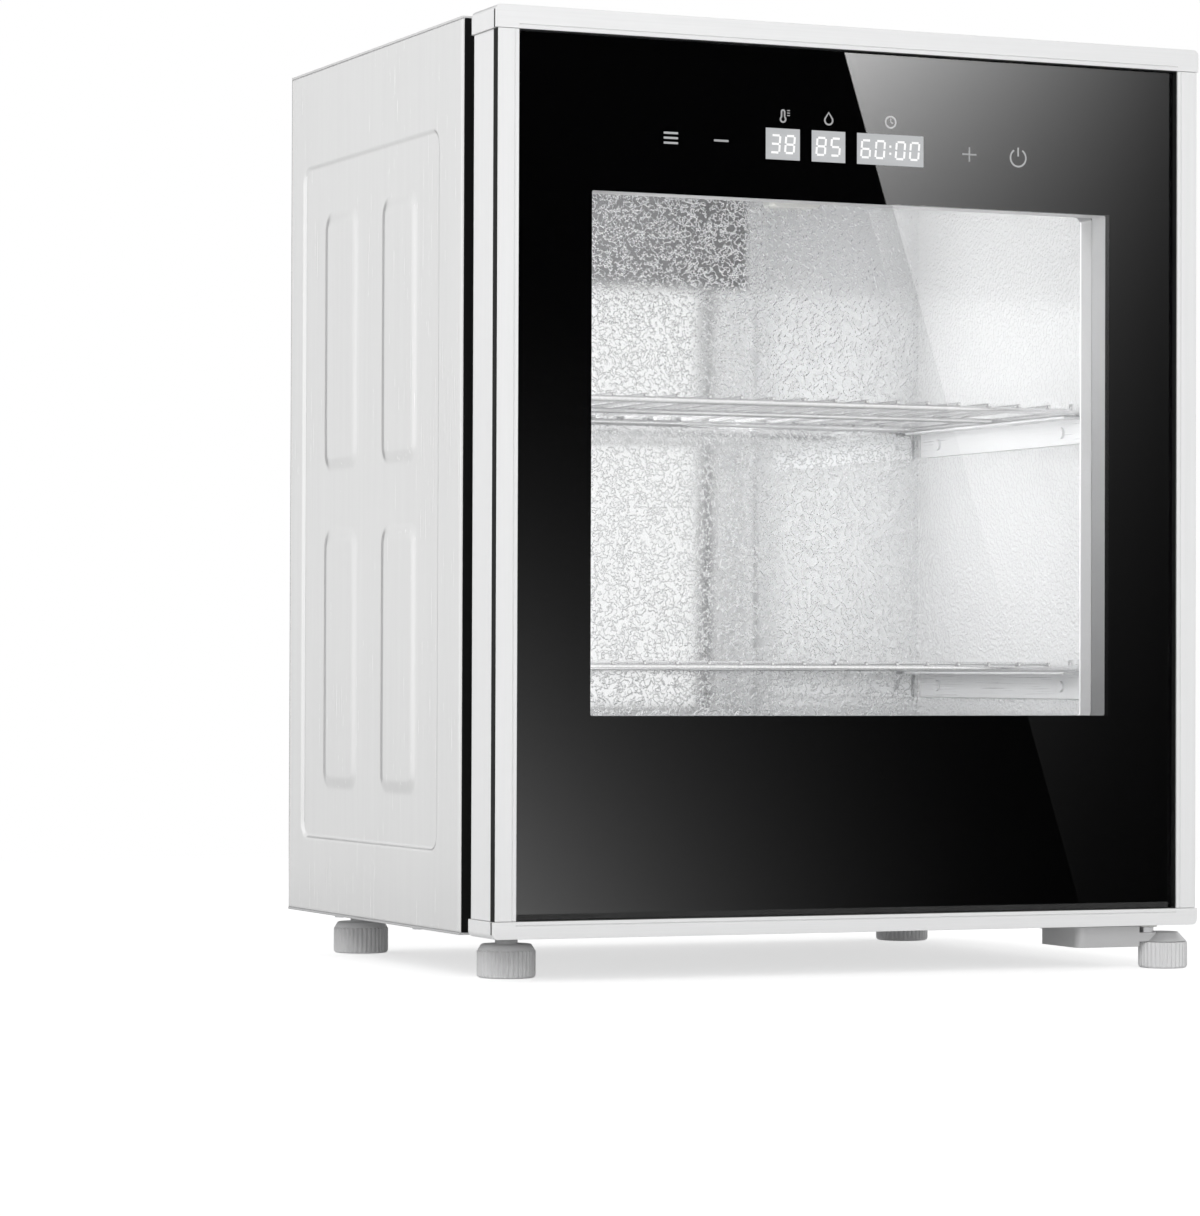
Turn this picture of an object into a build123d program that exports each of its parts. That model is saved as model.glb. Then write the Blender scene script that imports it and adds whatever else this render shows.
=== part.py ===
from build123d import *
import os
from math import cos, pi, sin, sqrt

# Counter-top dough proofer: an insulated cabinet with a side-hinged black glass door.
# Millimetres. +X is to the right, +Y to the back, +Z up. The origin is the bottom centre of the whole
# appliance, door included, on the surface it stands on.

# --- overall sizes ---------------------------------------------------------------------------------
cabinet_width = 416.0
cabinet_height = 480.0          # body and door, without the feet
cabinet_depth = 269.6           # body alone
door_thickness = 36.3
seal_gap = 10.4                 # between the door's back and the body's front edge
foot_height = 24.0

# --- clearances ------------------------------------------------------------------------------------
touch_gap = 0.3                 # between pieces of two bodies that rest on each other
running_gap = 0.05              # radial, on pins and studs
sliding_gap = 1.5               # between a shelf or tray and the walls beside it
fit_gap = 0.1                   # round a piece that passes through a slot of its own body
past = 1.0                      # how far a cutting solid runs past the face it opens
sink = 0.5                      # how far a joined piece runs into the one that carries it

# --- sheet and walls -------------------------------------------------------------------------------
sheet = 1.2                     # outer stainless sheet
liner = 0.8                     # inner aluminium sheet
side_wall = 31.0                # outer face to cavity, left and right
top_wall = 28.0
floor_wall = 25.0
rear_space = 43.0               # liner back to the rear edge of the side panels
frame_depth = 12.0              # black plastic front frame
frame_corner = 4.0
frame_outer_corner = 1.0
flange_width = 12.0
bracket_room = 5.0              # between the front frame and the insulation
rear_inset = 2.6                # rear panel below the edges of the side panels
rear_insulation = 20.0

# --- pressed side panels ---------------------------------------------------------------------------
press_depth = 1.2
press_rise = 1.0                # the slots stand up out of the pressed field by this much
field_from_front = 33.3
field_from_rear = 21.3
field_from_bottom = 42.0
field_from_top = 55.0
field_corner = 10.0
slot_width = 57.0
slot_height = 148.0
slot_corner = 8.0
slot_margin_y = 33.0            # from the field's edge to the slot
slot_margin_z = 28.0

# --- door ------------------------------------------------------------------------------------------
stile_width = 13.0
cap_overhang = 1.2              # the caps stand out past the stiles' outer faces
top_cap_height = 12.0
bottom_cap_height = 9.0
cap_corner = 3.0
cap_joint = 0.25                # between a stile's end and the cap
stile_corner = 4.0              # rear outer edge, clear of the body as the door swings
groove_front = 1.2
groove_width = 4.6
groove_depth = 2.6
cap_groove_width = 2.2
cap_groove_depth = 1.0
bead_width = 1.9                # bead beside the glass, marked off by a fine groove
bead_groove_width = 0.5
bead_groove_depth = 0.35
profile_wall = 2.0
strip_recess = 0.8
glass_inset = 0.6               # glass face behind the stiles' front faces
glass = 4.0
mask = 0.3
glass_edge_gap = 0.5
window_left = 55.9              # from the door's left edge to the clear window
window_right = 55.5             # from the door's right edge
window_bottom = 114.5
window_top = 93.0
window_corner = 1.0
spacer_width = 15.0
spacer_depth = 14.4
spacer_corner = 2.0
frame_margin = 2.0              # moulded frame's opening past the clear window
moulding_corner = 4.0
gasket_width = 13.0
gasket_edge = 12.0              # gasket to the door's outer edge, handle side, top and bottom
gasket_past_pivot = 2.6
gasket_lip = 2.0
gasket_lip_depth = 3.2
gasket_outer_corner = 5.0
gasket_inner_corner = 2.0
gasket_slot_corner = 2.5
gasket_slot = 4.0
gasket_slot_depth = 2.4

# --- controls behind the glass ---------------------------------------------------------------------
display_height = 16.6
display_start = -52.65          # left edge of the first display from the door's centre
display_widths = {"temperature": 20.1, "humidity": 20.0, "timer": 40.0}
display_gap = 6.8
display_seat = 0.6              # display past its window in the print, on every side
display_depth = 5.0
pads_before = (54.85, 25.85)    # pad centres to the left of the first display
pads_after = (27.45, 57.25)     # and to the right of the last one
pad_size = 14.0
pad_corner = 3.0
pad_depth = 2.0
pad_stem = 2.5
board_thickness = 1.6
board_past_pads = 14.6
board_height = 27.0
board_corner = 2.0
board_room = 1.0                # between the board and the moulded frame
board_above_spacer = 0.9
board_back_room = 2.0

# --- hinges ----------------------------------------------------------------------------------------
pivot_from_side = 24.5          # pivot axis to the door's right edge
pivot_from_front = 13.0
pin_radius = 3.0
bush_wall = 2.0
bush_flange = 1.3
flange_reach = 0.9              # bush flange past its sleeve
bracket_from_side = 69.5        # bracket's left end to the door's right edge
bracket_front = 8.6
bracket_height = 11.4           # block below the door
bracket_drop = 0.6              # door's bottom edge to the block
bracket_plate = 3.0
bracket_reach = 58.0            # plate under the body
bracket_corner = 5.0
bracket_past_front = 2.0        # block past the body's front edge
bracket_side_gap = 8.0          # plate to the body's right edge
bracket_plate_lead = 0.8        # plate ahead of the body's front edge
neck_room = 0.6                 # between the block and the pin's shoulder
boss_drop = 4.3                 # door's bottom edge to the top of the boss over the foot
boss_height = 5.0
boss_top_radius = 8.4
boss_lower_inset = 0.4          # boss within the foot below it
stud_end_gap = 0.8              # hinge foot's stud below the boss's top
bore_end = 0.5                  # solid left over the bores
collar_radius = 4.2
pin_end_gap = 0.4               # pin short of the bush's end
arm_thickness = 3.0
arm_half_width = 5.5
arm_below_top = 6.0             # top of the arm below the door's top face
arm_play = 0.6                  # above and below the arm in its pocket
pocket_front = 2.6              # front wall left before the pocket
pocket_side = 1.0               # beside the arm, toward the door's middle
hanger_height = 19.0
hanger_thickness = 2.5
hanger_side_gap = 4.0           # hanger to the body's right side
hanger_drop = 1.0               # below the top flange
cap_web = 1.2                   # left over the bush in the top cap
bottom_web = 0.8                # left over the bush in the bottom cap
upper_pin_gap = 0.2             # pin below the top of its bush
hinge_screw_inset = 10.0        # from the bracket's or hanger's end
hinge_screw_front = 16.0        # behind the body's front edge
hanger_screw_rise = 5.0

# --- feet ------------------------------------------------------------------------------------------
foot_radius = 15.6
hinge_foot_radius = 13.4
knurl_top = 9.6                 # body's underside to the top of the knurled part
knurl_ribs = 36
knurl_depth = 0.7
rib_start = 0.3                 # share of a rib's pitch before its crest
foot_round = 1.6
neck_radius = 6.0
collar_inset = 0.5
collar_top_radius = 13.2
collar_height = 3.2
foot_edge_gap = 0.2             # hinge foot within the door's outline
stud_radius = 4.0
stud_reach = 14.0               # stud above the body's underside
stud_room = 2.0
foot_from_side = 34.0
foot_from_front = 18.5          # behind the body's front edge
foot_from_rear = 29.0

# --- shelves and rails -----------------------------------------------------------------------------
shelf_heights = {"upper": 283.5, "lower": 140.0}
frame_wire = 1.75               # radii
cross_wire = 1.15
weld_sink = 0.5
shelf_front = 20.0              # shelf's front bar behind the body's front edge
shelf_back_gap = 3.6
shelf_corner = 8.0
wire_pitch = 18.9
shelf_side_gap = 2.0
hook_height = 5.0
hook_thinner = 0.3              # hook's radius below the frame wire's
rail_ledge = 12.0
rail_flange = 15.0
rail_sheet = 1.2
rail_front = 14.0               # behind the front frame
rail_rear_gap = 6.0
rail_screw_inset = 22.0
screw_radius = 3.2
screw_head = 1.4

# --- fan, heater and water tray --------------------------------------------------------------------
fan_height = 44.0               # above the cavity floor
fan_radius = 28.0
fan_hub = 9.0
fan_shaft = 2.5
fan_depth = 12.0
fan_blades = 10
fan_wall_gap = 2.4
blade_thickness = 1.4
blade_lean = 32.0
cover_width = 132.0
cover_height = 80.0
cover_depth = 19.0
cover_corner = 12.0
cover_sheet = 1.0
cover_slots = 9
cover_slot_width = 5.0
cover_slot_pitch = 9.0
motor_radius = 20.0
motor_length = 15.0
ear_half = 6.0
ear_thickness = 2.0
ear_corner = 3.0
tray_width = 222.0
tray_length = 128.0
tray_depth = 21.0
tray_front = 34.0               # behind the body's front edge
tray_sheet = 0.8
tray_rim = 8.0
tray_corner = 10.0
tray_draft = 6.0                # degrees
runner_past_tray = 4.0
runner_height = 34.0
runner_ledge = 10.0
runner_sheet = 1.2
element_radius = 3.2
element_height = 8.0
element_width = 150.0
element_bend = 22.0
element_front = 12.0            # behind the tray's front edge
clip_width = 8.0
clip_wall = 1.5

# --- rear ------------------------------------------------------------------------------------------
service_sheet = 1.0
vent_rows = 2
vent_columns = 12
vent_width = 3.2
vent_height = 30.0
vent_pitch = 8.0
vent_row_pitch = 40.0
vent_height_above_base = 330.0
inlet_width = 30.0
inlet_height = 22.0
inlet_depth = 15.0
inlet_flange = 4.0
inlet_flange_thickness = 2.2
inlet_wall = 2.0
inlet_corner = 3.0
inlet_mouth_corner = 4.0
inlet_from_side = 88.0          # centre to the right edge
inlet_above_base = 60.0
blade_offset = 2.0              # middle blade up, outer blades down
blade_pitch = 7.0
blade_size = (2.0, 4.0)
blade_length = 7.0
power_board_size = (130.0, 90.0)
power_board_from_side = 113.0   # centre to the left edge
power_board_above_base = 120.0
power_board_corner = 6.0        # edges to the standoffs
standoff = 4.0
standoff_radius = 3.0
transformer_size = (32.0, 8.0, 36.0)
transformer_from_left = 15.0
relay_size = (20.0, 7.0, 16.0)
relay_from_right = 21.0
capacitor_radius = 5.0
capacitor_pitch = 14.0
capacitor_count = 3
capacitor_from_left = 69.0
sensor_size = (30.0, 8.0, 16.0)
sensor_corner = 2.0
sensor_slot_margin = 3.0
sensor_from_side = 116.0        # centre to the right edge
sensor_below_ceiling = 30.0
sensor_slots = 4
sensor_slot_pitch = 6.0
sensor_slot_width = 2.0
screw_inset = 7.0
base_screw_gaps = (20.0, 40.0)  # behind the bracket's plate and ahead of the rear feet
rear_screw_levels = (0.03, 0.35, 0.65, 0.97)

# --- cavity lamp -----------------------------------------------------------------------------------
lamp_length = 240.0
lamp_width = 12.0
lamp_height = 5.0
lamp_front = 6.0                # behind the front frame
lamp_corner = 2.0

# --- derived places --------------------------------------------------------------------------------
right = cabinet_width / 2
left = -right
total_depth = door_thickness + seal_gap + cabinet_depth
door_front = -total_depth / 2
door_back = door_front + door_thickness
body_front = door_back + seal_gap
body_rear = total_depth / 2
base = foot_height
top = base + cabinet_height
cavity_left = left + side_wall
cavity_right = right - side_wall
cavity_floor = base + floor_wall
cavity_ceiling = top - top_wall
cavity_back = body_rear - rear_space
frame_back = body_front + frame_depth
insulation_front = frame_back + bracket_room
rear_panel_back = body_rear - rear_inset
service_front = cavity_back + liner + rear_insulation
pivot_x = right - pivot_from_side
pivot_y = door_front + pivot_from_front
bracket_top = base - bracket_drop
boss_top = base - boss_drop
hinge_foot_x = right - hinge_foot_radius - foot_edge_gap
hinge_foot_y = door_front + hinge_foot_radius + foot_edge_gap
bracket_start = right - bracket_from_side
bush_radius = pin_radius + running_gap + bush_wall
arm_top = top - arm_below_top
pocket_top = arm_top + arm_play
window_x = (left + window_left, right - window_right)
window_z = (base + window_bottom, top - window_top)
glass_x = (left + stile_width, right - stile_width)
glass_z = (base + bottom_cap_height, top - top_cap_height)
glass_front = door_front + glass_inset
glass_back = glass_front + glass
spacer_front = glass_back + mask
inner_glass_front = spacer_front + spacer_depth
inner_glass_back = inner_glass_front + glass
control_z = window_z[1] + spacer_width + board_above_spacer + board_height / 2
shell_inner = sheet + flange_width
foot_places = {
    "front_left": (left + foot_from_side, body_front + foot_from_front),
    "rear_left": (left + foot_from_side, body_rear - foot_from_rear),
    "rear_right": (right - foot_from_side, body_rear - foot_from_rear),
}
fan_z = cavity_floor + fan_height
inlet_x = right - inlet_from_side
sensor_x = right - sensor_from_side
almost_half = 0.499             # corner radius of a slot with round ends, as a share of its width


# --- helpers ---------------------------------------------------------------------------------------
def block(x, y, z):
    """A box between three pairs of coordinates."""
    centre = Pos((x[0] + x[1]) / 2, (y[0] + y[1]) / 2, (z[0] + z[1]) / 2)
    return centre * Box(x[1] - x[0], y[1] - y[0], z[1] - z[0])


def plate(x, y, z, corner):
    """An upright plate facing the front, with rounded corners."""
    outline = RectangleRounded(x[1] - x[0], z[1] - z[0], corner)
    face = Plane(origin=((x[0] + x[1]) / 2, y[0], (z[0] + z[1]) / 2), x_dir=(1, 0, 0), z_dir=(0, 1, 0))
    return extrude(face * outline, amount=y[1] - y[0])


def post(x, y, z, radius):
    """An upright cylinder between two heights."""
    return Pos(x, y, (z[0] + z[1]) / 2) * Cylinder(radius, z[1] - z[0])


def pin_through(x, y, z, radius):
    """A cylinder along Y between two y values."""
    return Pos(x, (y[0] + y[1]) / 2, z) * Rot(90, 0, 0) * Cylinder(radius, y[1] - y[0])


def peg_across(x, y, z, radius):
    """A cylinder along X between two x values."""
    return Pos((x[0] + x[1]) / 2, y, z) * Rot(0, 90, 0) * Cylinder(radius, x[1] - x[0])


def grown(pair, amount):
    """A pair of limits moved apart by an amount at each end."""
    return (pair[0] - amount, pair[1] + amount)


def ring(outer_x, outer_z, inner_x, inner_z, y, outer_corner, inner_corner):
    """A rectangular frame facing the front."""
    return plate(outer_x, y, outer_z, outer_corner) - plate(inner_x, grown(y, past), inner_z, inner_corner)


def bent_wire(path, radius):
    """Round wire along a path."""
    return sweep(Plane(origin=path @ 0, z_dir=path % 0) * Circle(radius), path=path)


def save(node, shape):
    """Write one sub-part."""
    export_step(shape, f"parts/{node}.step")


# --- cabinet shell ---------------------------------------------------------------------------------
def pressing(x, direction, y, z, corner, height):
    """A rounded pad on an upright plane, with sides that lean in at 45 degrees."""
    seat = Plane(origin=(x, (y[0] + y[1]) / 2, (z[0] + z[1]) / 2), x_dir=(0, 1, 0), z_dir=(direction, 0, 0))
    outline = RectangleRounded(y[1] - y[0], z[1] - z[0], corner)
    return extrude(seat * outline, amount=height, taper=45)


def slot_places():
    """The four slots of the pressed field: two columns of two."""
    field_y = (body_front + field_from_front, body_rear - field_from_rear)
    field_z = (base + field_from_bottom, top - field_from_top)
    rows = ((field_z[0] + slot_margin_z, field_z[0] + slot_margin_z + slot_height),
            (field_z[1] - slot_margin_z - slot_height, field_z[1] - slot_margin_z))
    columns = ((field_y[0] + slot_margin_y, field_y[0] + slot_margin_y + slot_width),
               (field_y[1] - slot_margin_y - slot_width, field_y[1] - slot_margin_y))
    return field_y, field_z, [(y, z) for y in columns for z in rows]


def side_panel():
    """Left side panel: flat sheet with a sunk field, four raised slots and three flanges."""
    inner = left + sheet
    y = (body_front, body_rear)
    z = (base + sheet, top - sheet)
    panel = block((left, inner), y, z)
    flange_x = (left, left + flange_width)
    rear_flange = rear_panel_back - service_sheet
    flange_y = (frame_back, rear_flange)
    panel += block(flange_x, flange_y, (z[1] - sheet, z[1]))
    panel += block(flange_x, flange_y, (z[0], z[0] + sheet))
    panel += block(flange_x, (rear_flange - sheet, rear_flange), z)
    field_y, field_z, slots = slot_places()
    bend = sheet * (sqrt(2) - 1)
    panel += pressing(inner, 1, grown(field_y, bend), grown(field_z, bend), field_corner, press_depth)
    panel -= pressing(left, 1, field_y, field_z, field_corner, press_depth)
    for slot_y, slot_z in slots:
        panel += pressing(left + press_depth, -1, slot_y, slot_z, slot_corner, press_rise)
        inside_y = grown(slot_y, -bend)
        inside_z = grown(slot_z, -bend)
        panel -= pressing(inner + press_depth, -1, inside_y, inside_z, slot_corner - bend, press_rise)
    return panel


def top_panel():
    """Flat top sheet over the side panels' flanges."""
    return block((left, right), (body_front, body_rear), (top - sheet, top))


def base_pan():
    """Bottom sheet with holes for the studs of the feet."""
    pan = block((left, right), (body_front, body_rear), (base, base + sheet))
    for x, y in foot_places.values():
        pan -= post(x, y, grown((base, base + sheet), past), stud_radius + running_gap)
    return pan


def rear_panel():
    """Rear sheet with two rows of vent slots and the cut-out for the mains inlet."""
    x = (left + sheet, right - sheet)
    y = (rear_panel_back - service_sheet, rear_panel_back)
    panel = block(x, y, (base + sheet, top - sheet))
    slot_x = (-vent_width / 2, vent_width / 2)
    slot = plate(slot_x, grown(y, past), (0, vent_height), vent_width * almost_half)
    for row in range(vent_rows):
        for column in range(vent_columns):
            along = (column - (vent_columns - 1) / 2) * vent_pitch
            panel -= Pos(along, 0, base + vent_height_above_base + row * vent_row_pitch) * slot
    half = inlet_width / 2 + fit_gap
    z = (base + inlet_above_base - fit_gap, base + inlet_above_base + inlet_height + fit_gap)
    panel -= block((inlet_x - half, inlet_x + half), grown(y, past), z)
    return panel


def service_plate():
    """Inner rear sheet that carries the fan motor and the power board."""
    x = (left + shell_inner, right - shell_inner)
    y = (service_front, service_front + service_sheet)
    sheet_plate = block(x, y, (base + 2 * sheet, top - 2 * sheet))
    sheet_plate -= pin_through(0, grown(y, past), fan_z, fan_hub / 2)
    for foot_x, foot_y in foot_places.values():
        sheet_plate -= post(foot_x, foot_y, (base, base + stud_reach + stud_room), stud_radius + stud_room)
    return sheet_plate


def front_frame():
    """Black plastic frame round the cavity's mouth, slotted for the upper hinge arm."""
    x = (left + sheet, right - sheet)
    z = (base + sheet, top - sheet)
    y = (body_front, frame_back)
    mouth = ((cavity_left, cavity_right), (cavity_floor, cavity_ceiling))
    frame = ring(x, z, *mouth, y, frame_outer_corner, frame_corner)
    slot_x = (pivot_x - arm_half_width - fit_gap, pivot_x + arm_half_width + fit_gap)
    return frame - block(slot_x, grown(y, past), (arm_top - arm_thickness - fit_gap, arm_top + fit_gap))


# --- liner and insulation --------------------------------------------------------------------------
def liner_sheets():
    """The five inner sheets of the cavity."""
    y = (frame_back, cavity_back)
    wide = (cavity_left - liner, cavity_right + liner)
    back = block(wide, (cavity_back, cavity_back + liner), (cavity_floor - liner, cavity_ceiling + liner))
    back -= pin_through(0, grown((cavity_back, cavity_back + liner), past), fan_z, fan_hub / 2)
    return {
        "liner_left": block((cavity_left - liner, cavity_left), y, (cavity_floor, cavity_ceiling)),
        "liner_right": block((cavity_right, cavity_right + liner), y, (cavity_floor, cavity_ceiling)),
        "liner_floor": block(wide, y, (cavity_floor - liner, cavity_floor)),
        "liner_ceiling": block(wide, y, (cavity_ceiling, cavity_ceiling + liner)),
        "liner_back": back,
    }


def insulation_slabs():
    """The five insulation slabs between the liner and the shell, with room for the foot studs."""
    y = (insulation_front, cavity_back + liner)
    inner_x = (cavity_left - liner, cavity_right + liner)
    shell = left + sheet + press_depth
    tall = (base + 2 * sheet, top - 2 * sheet)
    rear_x = (left + shell_inner, right - shell_inner)
    rear_y = (cavity_back + liner, service_front)
    rear = block(rear_x, rear_y, tall)
    rear -= pin_through(0, grown(rear_y, past), fan_z, fan_hub / 2)
    slabs = {
        "insulation_left": block((shell, inner_x[0]), y, tall),
        "insulation_right": block((inner_x[1], -shell), y, tall),
        "insulation_bottom": block(inner_x, y, (base + sheet, cavity_floor - liner)),
        "insulation_top": block(inner_x, y, (cavity_ceiling + liner, top - sheet)),
        "insulation_rear": rear,
    }
    for x, y in foot_places.values():
        room = post(x, y, (base, base + stud_reach + stud_room), stud_radius + stud_room)
        slabs = {node: slab - room for node, slab in slabs.items()}
    return slabs


# --- shelves and their rails -----------------------------------------------------------------------
def rail_limits():
    """Where the shelf rails start and end."""
    return frame_back + rail_front, cavity_back - rail_rear_gap


def rails(level):
    """A pair of angle rails: a flange on each side wall and a ledge under the shelf."""
    ledge_top = base + shelf_heights[level] - frame_wire - touch_gap
    y = rail_limits()
    ledge = block((cavity_left, cavity_left + rail_ledge), y, (ledge_top - rail_sheet, ledge_top))
    flange = block((cavity_left, cavity_left + rail_sheet), y, (ledge_top - rail_flange, ledge_top))
    rail = ledge + flange
    return Compound([rail, mirror(rail, Plane.YZ)])


def rail_screws():
    """Pan-head screws that hold each rail's flange to the side wall."""
    start, end = rail_limits()
    heads = []
    for height in shelf_heights.values():
        z = base + height - frame_wire - touch_gap - (rail_flange + rail_sheet) / 2
        for y in (start + rail_screw_inset, end - rail_screw_inset):
            seat = cavity_left + rail_sheet
            head = peg_across((seat, seat + screw_head), y, z, screw_radius)
            heads += [head, mirror(head, Plane.YZ)]
    return Compound(heads)


def wire_shelf(level):
    """A frame of round wire with lighter wires welded across it from front to back."""
    z = base + shelf_heights[level]
    half = cavity_right - shelf_side_gap - sliding_gap - frame_wire
    y = (body_front + shelf_front, cavity_back - shelf_back_gap)
    outline = Pos(0, (y[0] + y[1]) / 2, z) * RectangleRounded(2 * half, y[1] - y[0], shelf_corner)
    shelf = bent_wire(outline.wire(), frame_wire)
    wire_z = z + frame_wire + cross_wire - weld_sink
    count = 2 * int((half - wire_pitch / 2) / wire_pitch) + 1
    for number in range(count):
        x = (number - (count - 1) / 2) * wire_pitch
        shelf += pin_through(x, (y[0] - cross_wire, y[1] + cross_wire), wire_z, cross_wire)
    middle = (y[0] + y[1]) / 2
    shelf += peg_across((-half, half), middle, z, frame_wire - weld_sink / 2)
    for side in (-1, 1):
        hook_z = (z, z + hook_height)
        shelf += post(side * half, y[0] + shelf_corner + frame_wire, hook_z, frame_wire - hook_thinner)
    return shelf


# --- fan, heater and water tray --------------------------------------------------------------------
def fan_cover():
    """Pressed cover over the fan on the back wall, with upright slots."""
    x = (-cover_width / 2, cover_width / 2)
    y = (cavity_back - cover_depth, cavity_back)
    z = (fan_z - cover_height / 2, fan_z + cover_height / 2)
    hollow_y = (y[0] + cover_sheet, y[1] + past)
    cover = plate(x, y, z, cover_corner)
    cover -= plate(grown(x, -cover_sheet), hollow_y, grown(z, -cover_sheet), cover_corner - cover_sheet)
    reach = cover_height / 2 - cover_corner
    for number in range(cover_slots):
        along = (number - (cover_slots - 1) / 2) * cover_slot_pitch
        slot_x = (along - cover_slot_width / 2, along + cover_slot_width / 2)
        slot_y = grown((y[0], y[0] + cover_sheet), past)
        cover -= plate(slot_x, slot_y, (fan_z - reach, fan_z + reach), cover_slot_width * almost_half)
    return cover


def fan_rotor():
    """Back plate, hub, leaning blades and shaft of the circulation fan."""
    back = cavity_back - fan_wall_gap
    rotor = pin_through(0, (back - fan_depth, back), fan_z, fan_hub)
    rotor += pin_through(0, (back - blade_thickness, back), fan_z, fan_radius)
    rotor += pin_through(0, (back, service_front + service_sheet + touch_gap), fan_z, fan_shaft)
    length = fan_radius - fan_hub
    for number in range(fan_blades):
        blade = Pos(length / 2, 0, 0) * Box(length, fan_depth, blade_thickness)
        turned = Pos(fan_hub, 0, 0) * Rot(0, blade_lean, 0) * blade
        outer = Rot(0, 360 / fan_blades * number, 0) * (Rot(0, -blade_lean / 2, 0) * turned)
        rotor += Pos(0, back - fan_depth / 2, fan_z) * outer
    return rotor


def fan_motor():
    """Motor can on the service plate, bored for the fan shaft."""
    y = (service_front + service_sheet, service_front + service_sheet + motor_length)
    motor = pin_through(0, y, fan_z, motor_radius)
    for side in (-1, 1):
        ear_x = (side * motor_radius - ear_half, side * motor_radius + ear_half)
        motor += plate(ear_x, (y[0], y[0] + ear_thickness), (fan_z - ear_half, fan_z + ear_half), ear_corner)
    return motor - pin_through(0, grown((y[0], y[0] + touch_gap), past), fan_z, fan_shaft + running_gap)


def tray_y():
    """Front and rear limits of the water tray's rim."""
    return body_front + tray_front, body_front + tray_front + tray_length


def runner_top():
    """Height of the ledges that the water tray's rim hangs on."""
    return cavity_floor + runner_height


def tray_runners():
    """Two folded runners on the cavity floor: foot, web and ledge."""
    y = grown(tray_y(), runner_past_tray)
    web = tray_width / 2 + sliding_gap
    z = runner_top()
    runner = block((web, web + runner_sheet), y, (cavity_floor, z))
    runner += block((web - tray_rim, web + runner_sheet), y, (z - runner_sheet, z))
    runner += block((web, web + runner_ledge), y, (cavity_floor, cavity_floor + runner_sheet))
    return Compound([runner, mirror(runner, Plane.YZ)])


def water_tray():
    """Deep-drawn tray that hangs by its rim on the runners."""
    y = tray_y()
    rim_z = runner_top() + touch_gap
    half = tray_width / 2
    outline = Pos(0, (y[0] + y[1]) / 2, rim_z) * RectangleRounded(2 * half, y[1] - y[0], tray_corner)
    tray = extrude(outline, amount=tray_sheet)
    inset = tray_rim + sliding_gap
    size = (2 * (half - inset), y[1] - y[0] - 2 * inset)
    centre = Pos(0, (y[0] + y[1]) / 2, rim_z + tray_sheet)
    tub_outline = RectangleRounded(size[0], size[1], tray_corner)
    tub = centre * extrude(tub_outline, amount=-tray_depth, taper=tray_draft)
    hollow_size = (size[0] - 2 * tray_sheet, size[1] - 2 * tray_sheet)
    hollow_outline = RectangleRounded(hollow_size[0], hollow_size[1], tray_corner - tray_sheet)
    hollow = centre * extrude(hollow_outline, amount=-(tray_depth - tray_sheet), taper=tray_draft)
    return tray + tub - hollow


def heating_element():
    """Sheathed element bent into a U above the cavity floor, open to the back."""
    front, rear = tray_y()
    z = cavity_floor + element_height
    half = element_width / 2
    bend_y = front + element_front
    points = [(-half, rear, z), (-half, bend_y, z), (half, bend_y, z), (half, rear, z)]
    path = FilletPolyline(*points, radius=element_bend)
    return bent_wire(path.wire(), element_radius)


def element_clips():
    """Four saddles that hold the element above the floor."""
    front, rear = tray_y()
    z = cavity_floor + element_height
    clips = []
    for y in (front + element_front + element_bend + clip_width, rear - clip_width):
        for x in (-element_width / 2, element_width / 2):
            wide = element_radius + clip_wall
            clip = block((x - wide, x + wide), (y, y + clip_width), (cavity_floor, z + wide))
            clips.append(clip - pin_through(x, grown((y, y + clip_width), past), z, element_radius))
    return Compound(clips)


def climate_sensor():
    """Slotted housing of the temperature and humidity sensor, high on the back wall."""
    x = (sensor_x - sensor_size[0] / 2, sensor_x + sensor_size[0] / 2)
    y = (cavity_back - sensor_size[1], cavity_back)
    centre = cavity_ceiling - sensor_below_ceiling
    z = (centre - sensor_size[2] / 2, centre + sensor_size[2] / 2)
    housing = plate(x, y, z, sensor_corner)
    for number in range(sensor_slots):
        along = sensor_x + (number - (sensor_slots - 1) / 2) * sensor_slot_pitch
        slot_x = (along - sensor_slot_width / 2, along + sensor_slot_width / 2)
        slot_y = (y[0] - past, y[0] + sensor_size[1] / 2)
        housing -= block(slot_x, slot_y, grown(z, -sensor_slot_margin))
    return housing


def cavity_lamp():
    """Slim lamp with rounded lower edges on the cavity ceiling, behind the front frame."""
    y = (frame_back + lamp_front, frame_back + lamp_front + lamp_width)
    lamp = block((-lamp_length / 2, lamp_length / 2), y, (cavity_ceiling - lamp_height, cavity_ceiling))
    return fillet(lamp.faces().sort_by(Axis.Z)[0].edges(), lamp_corner)


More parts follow.
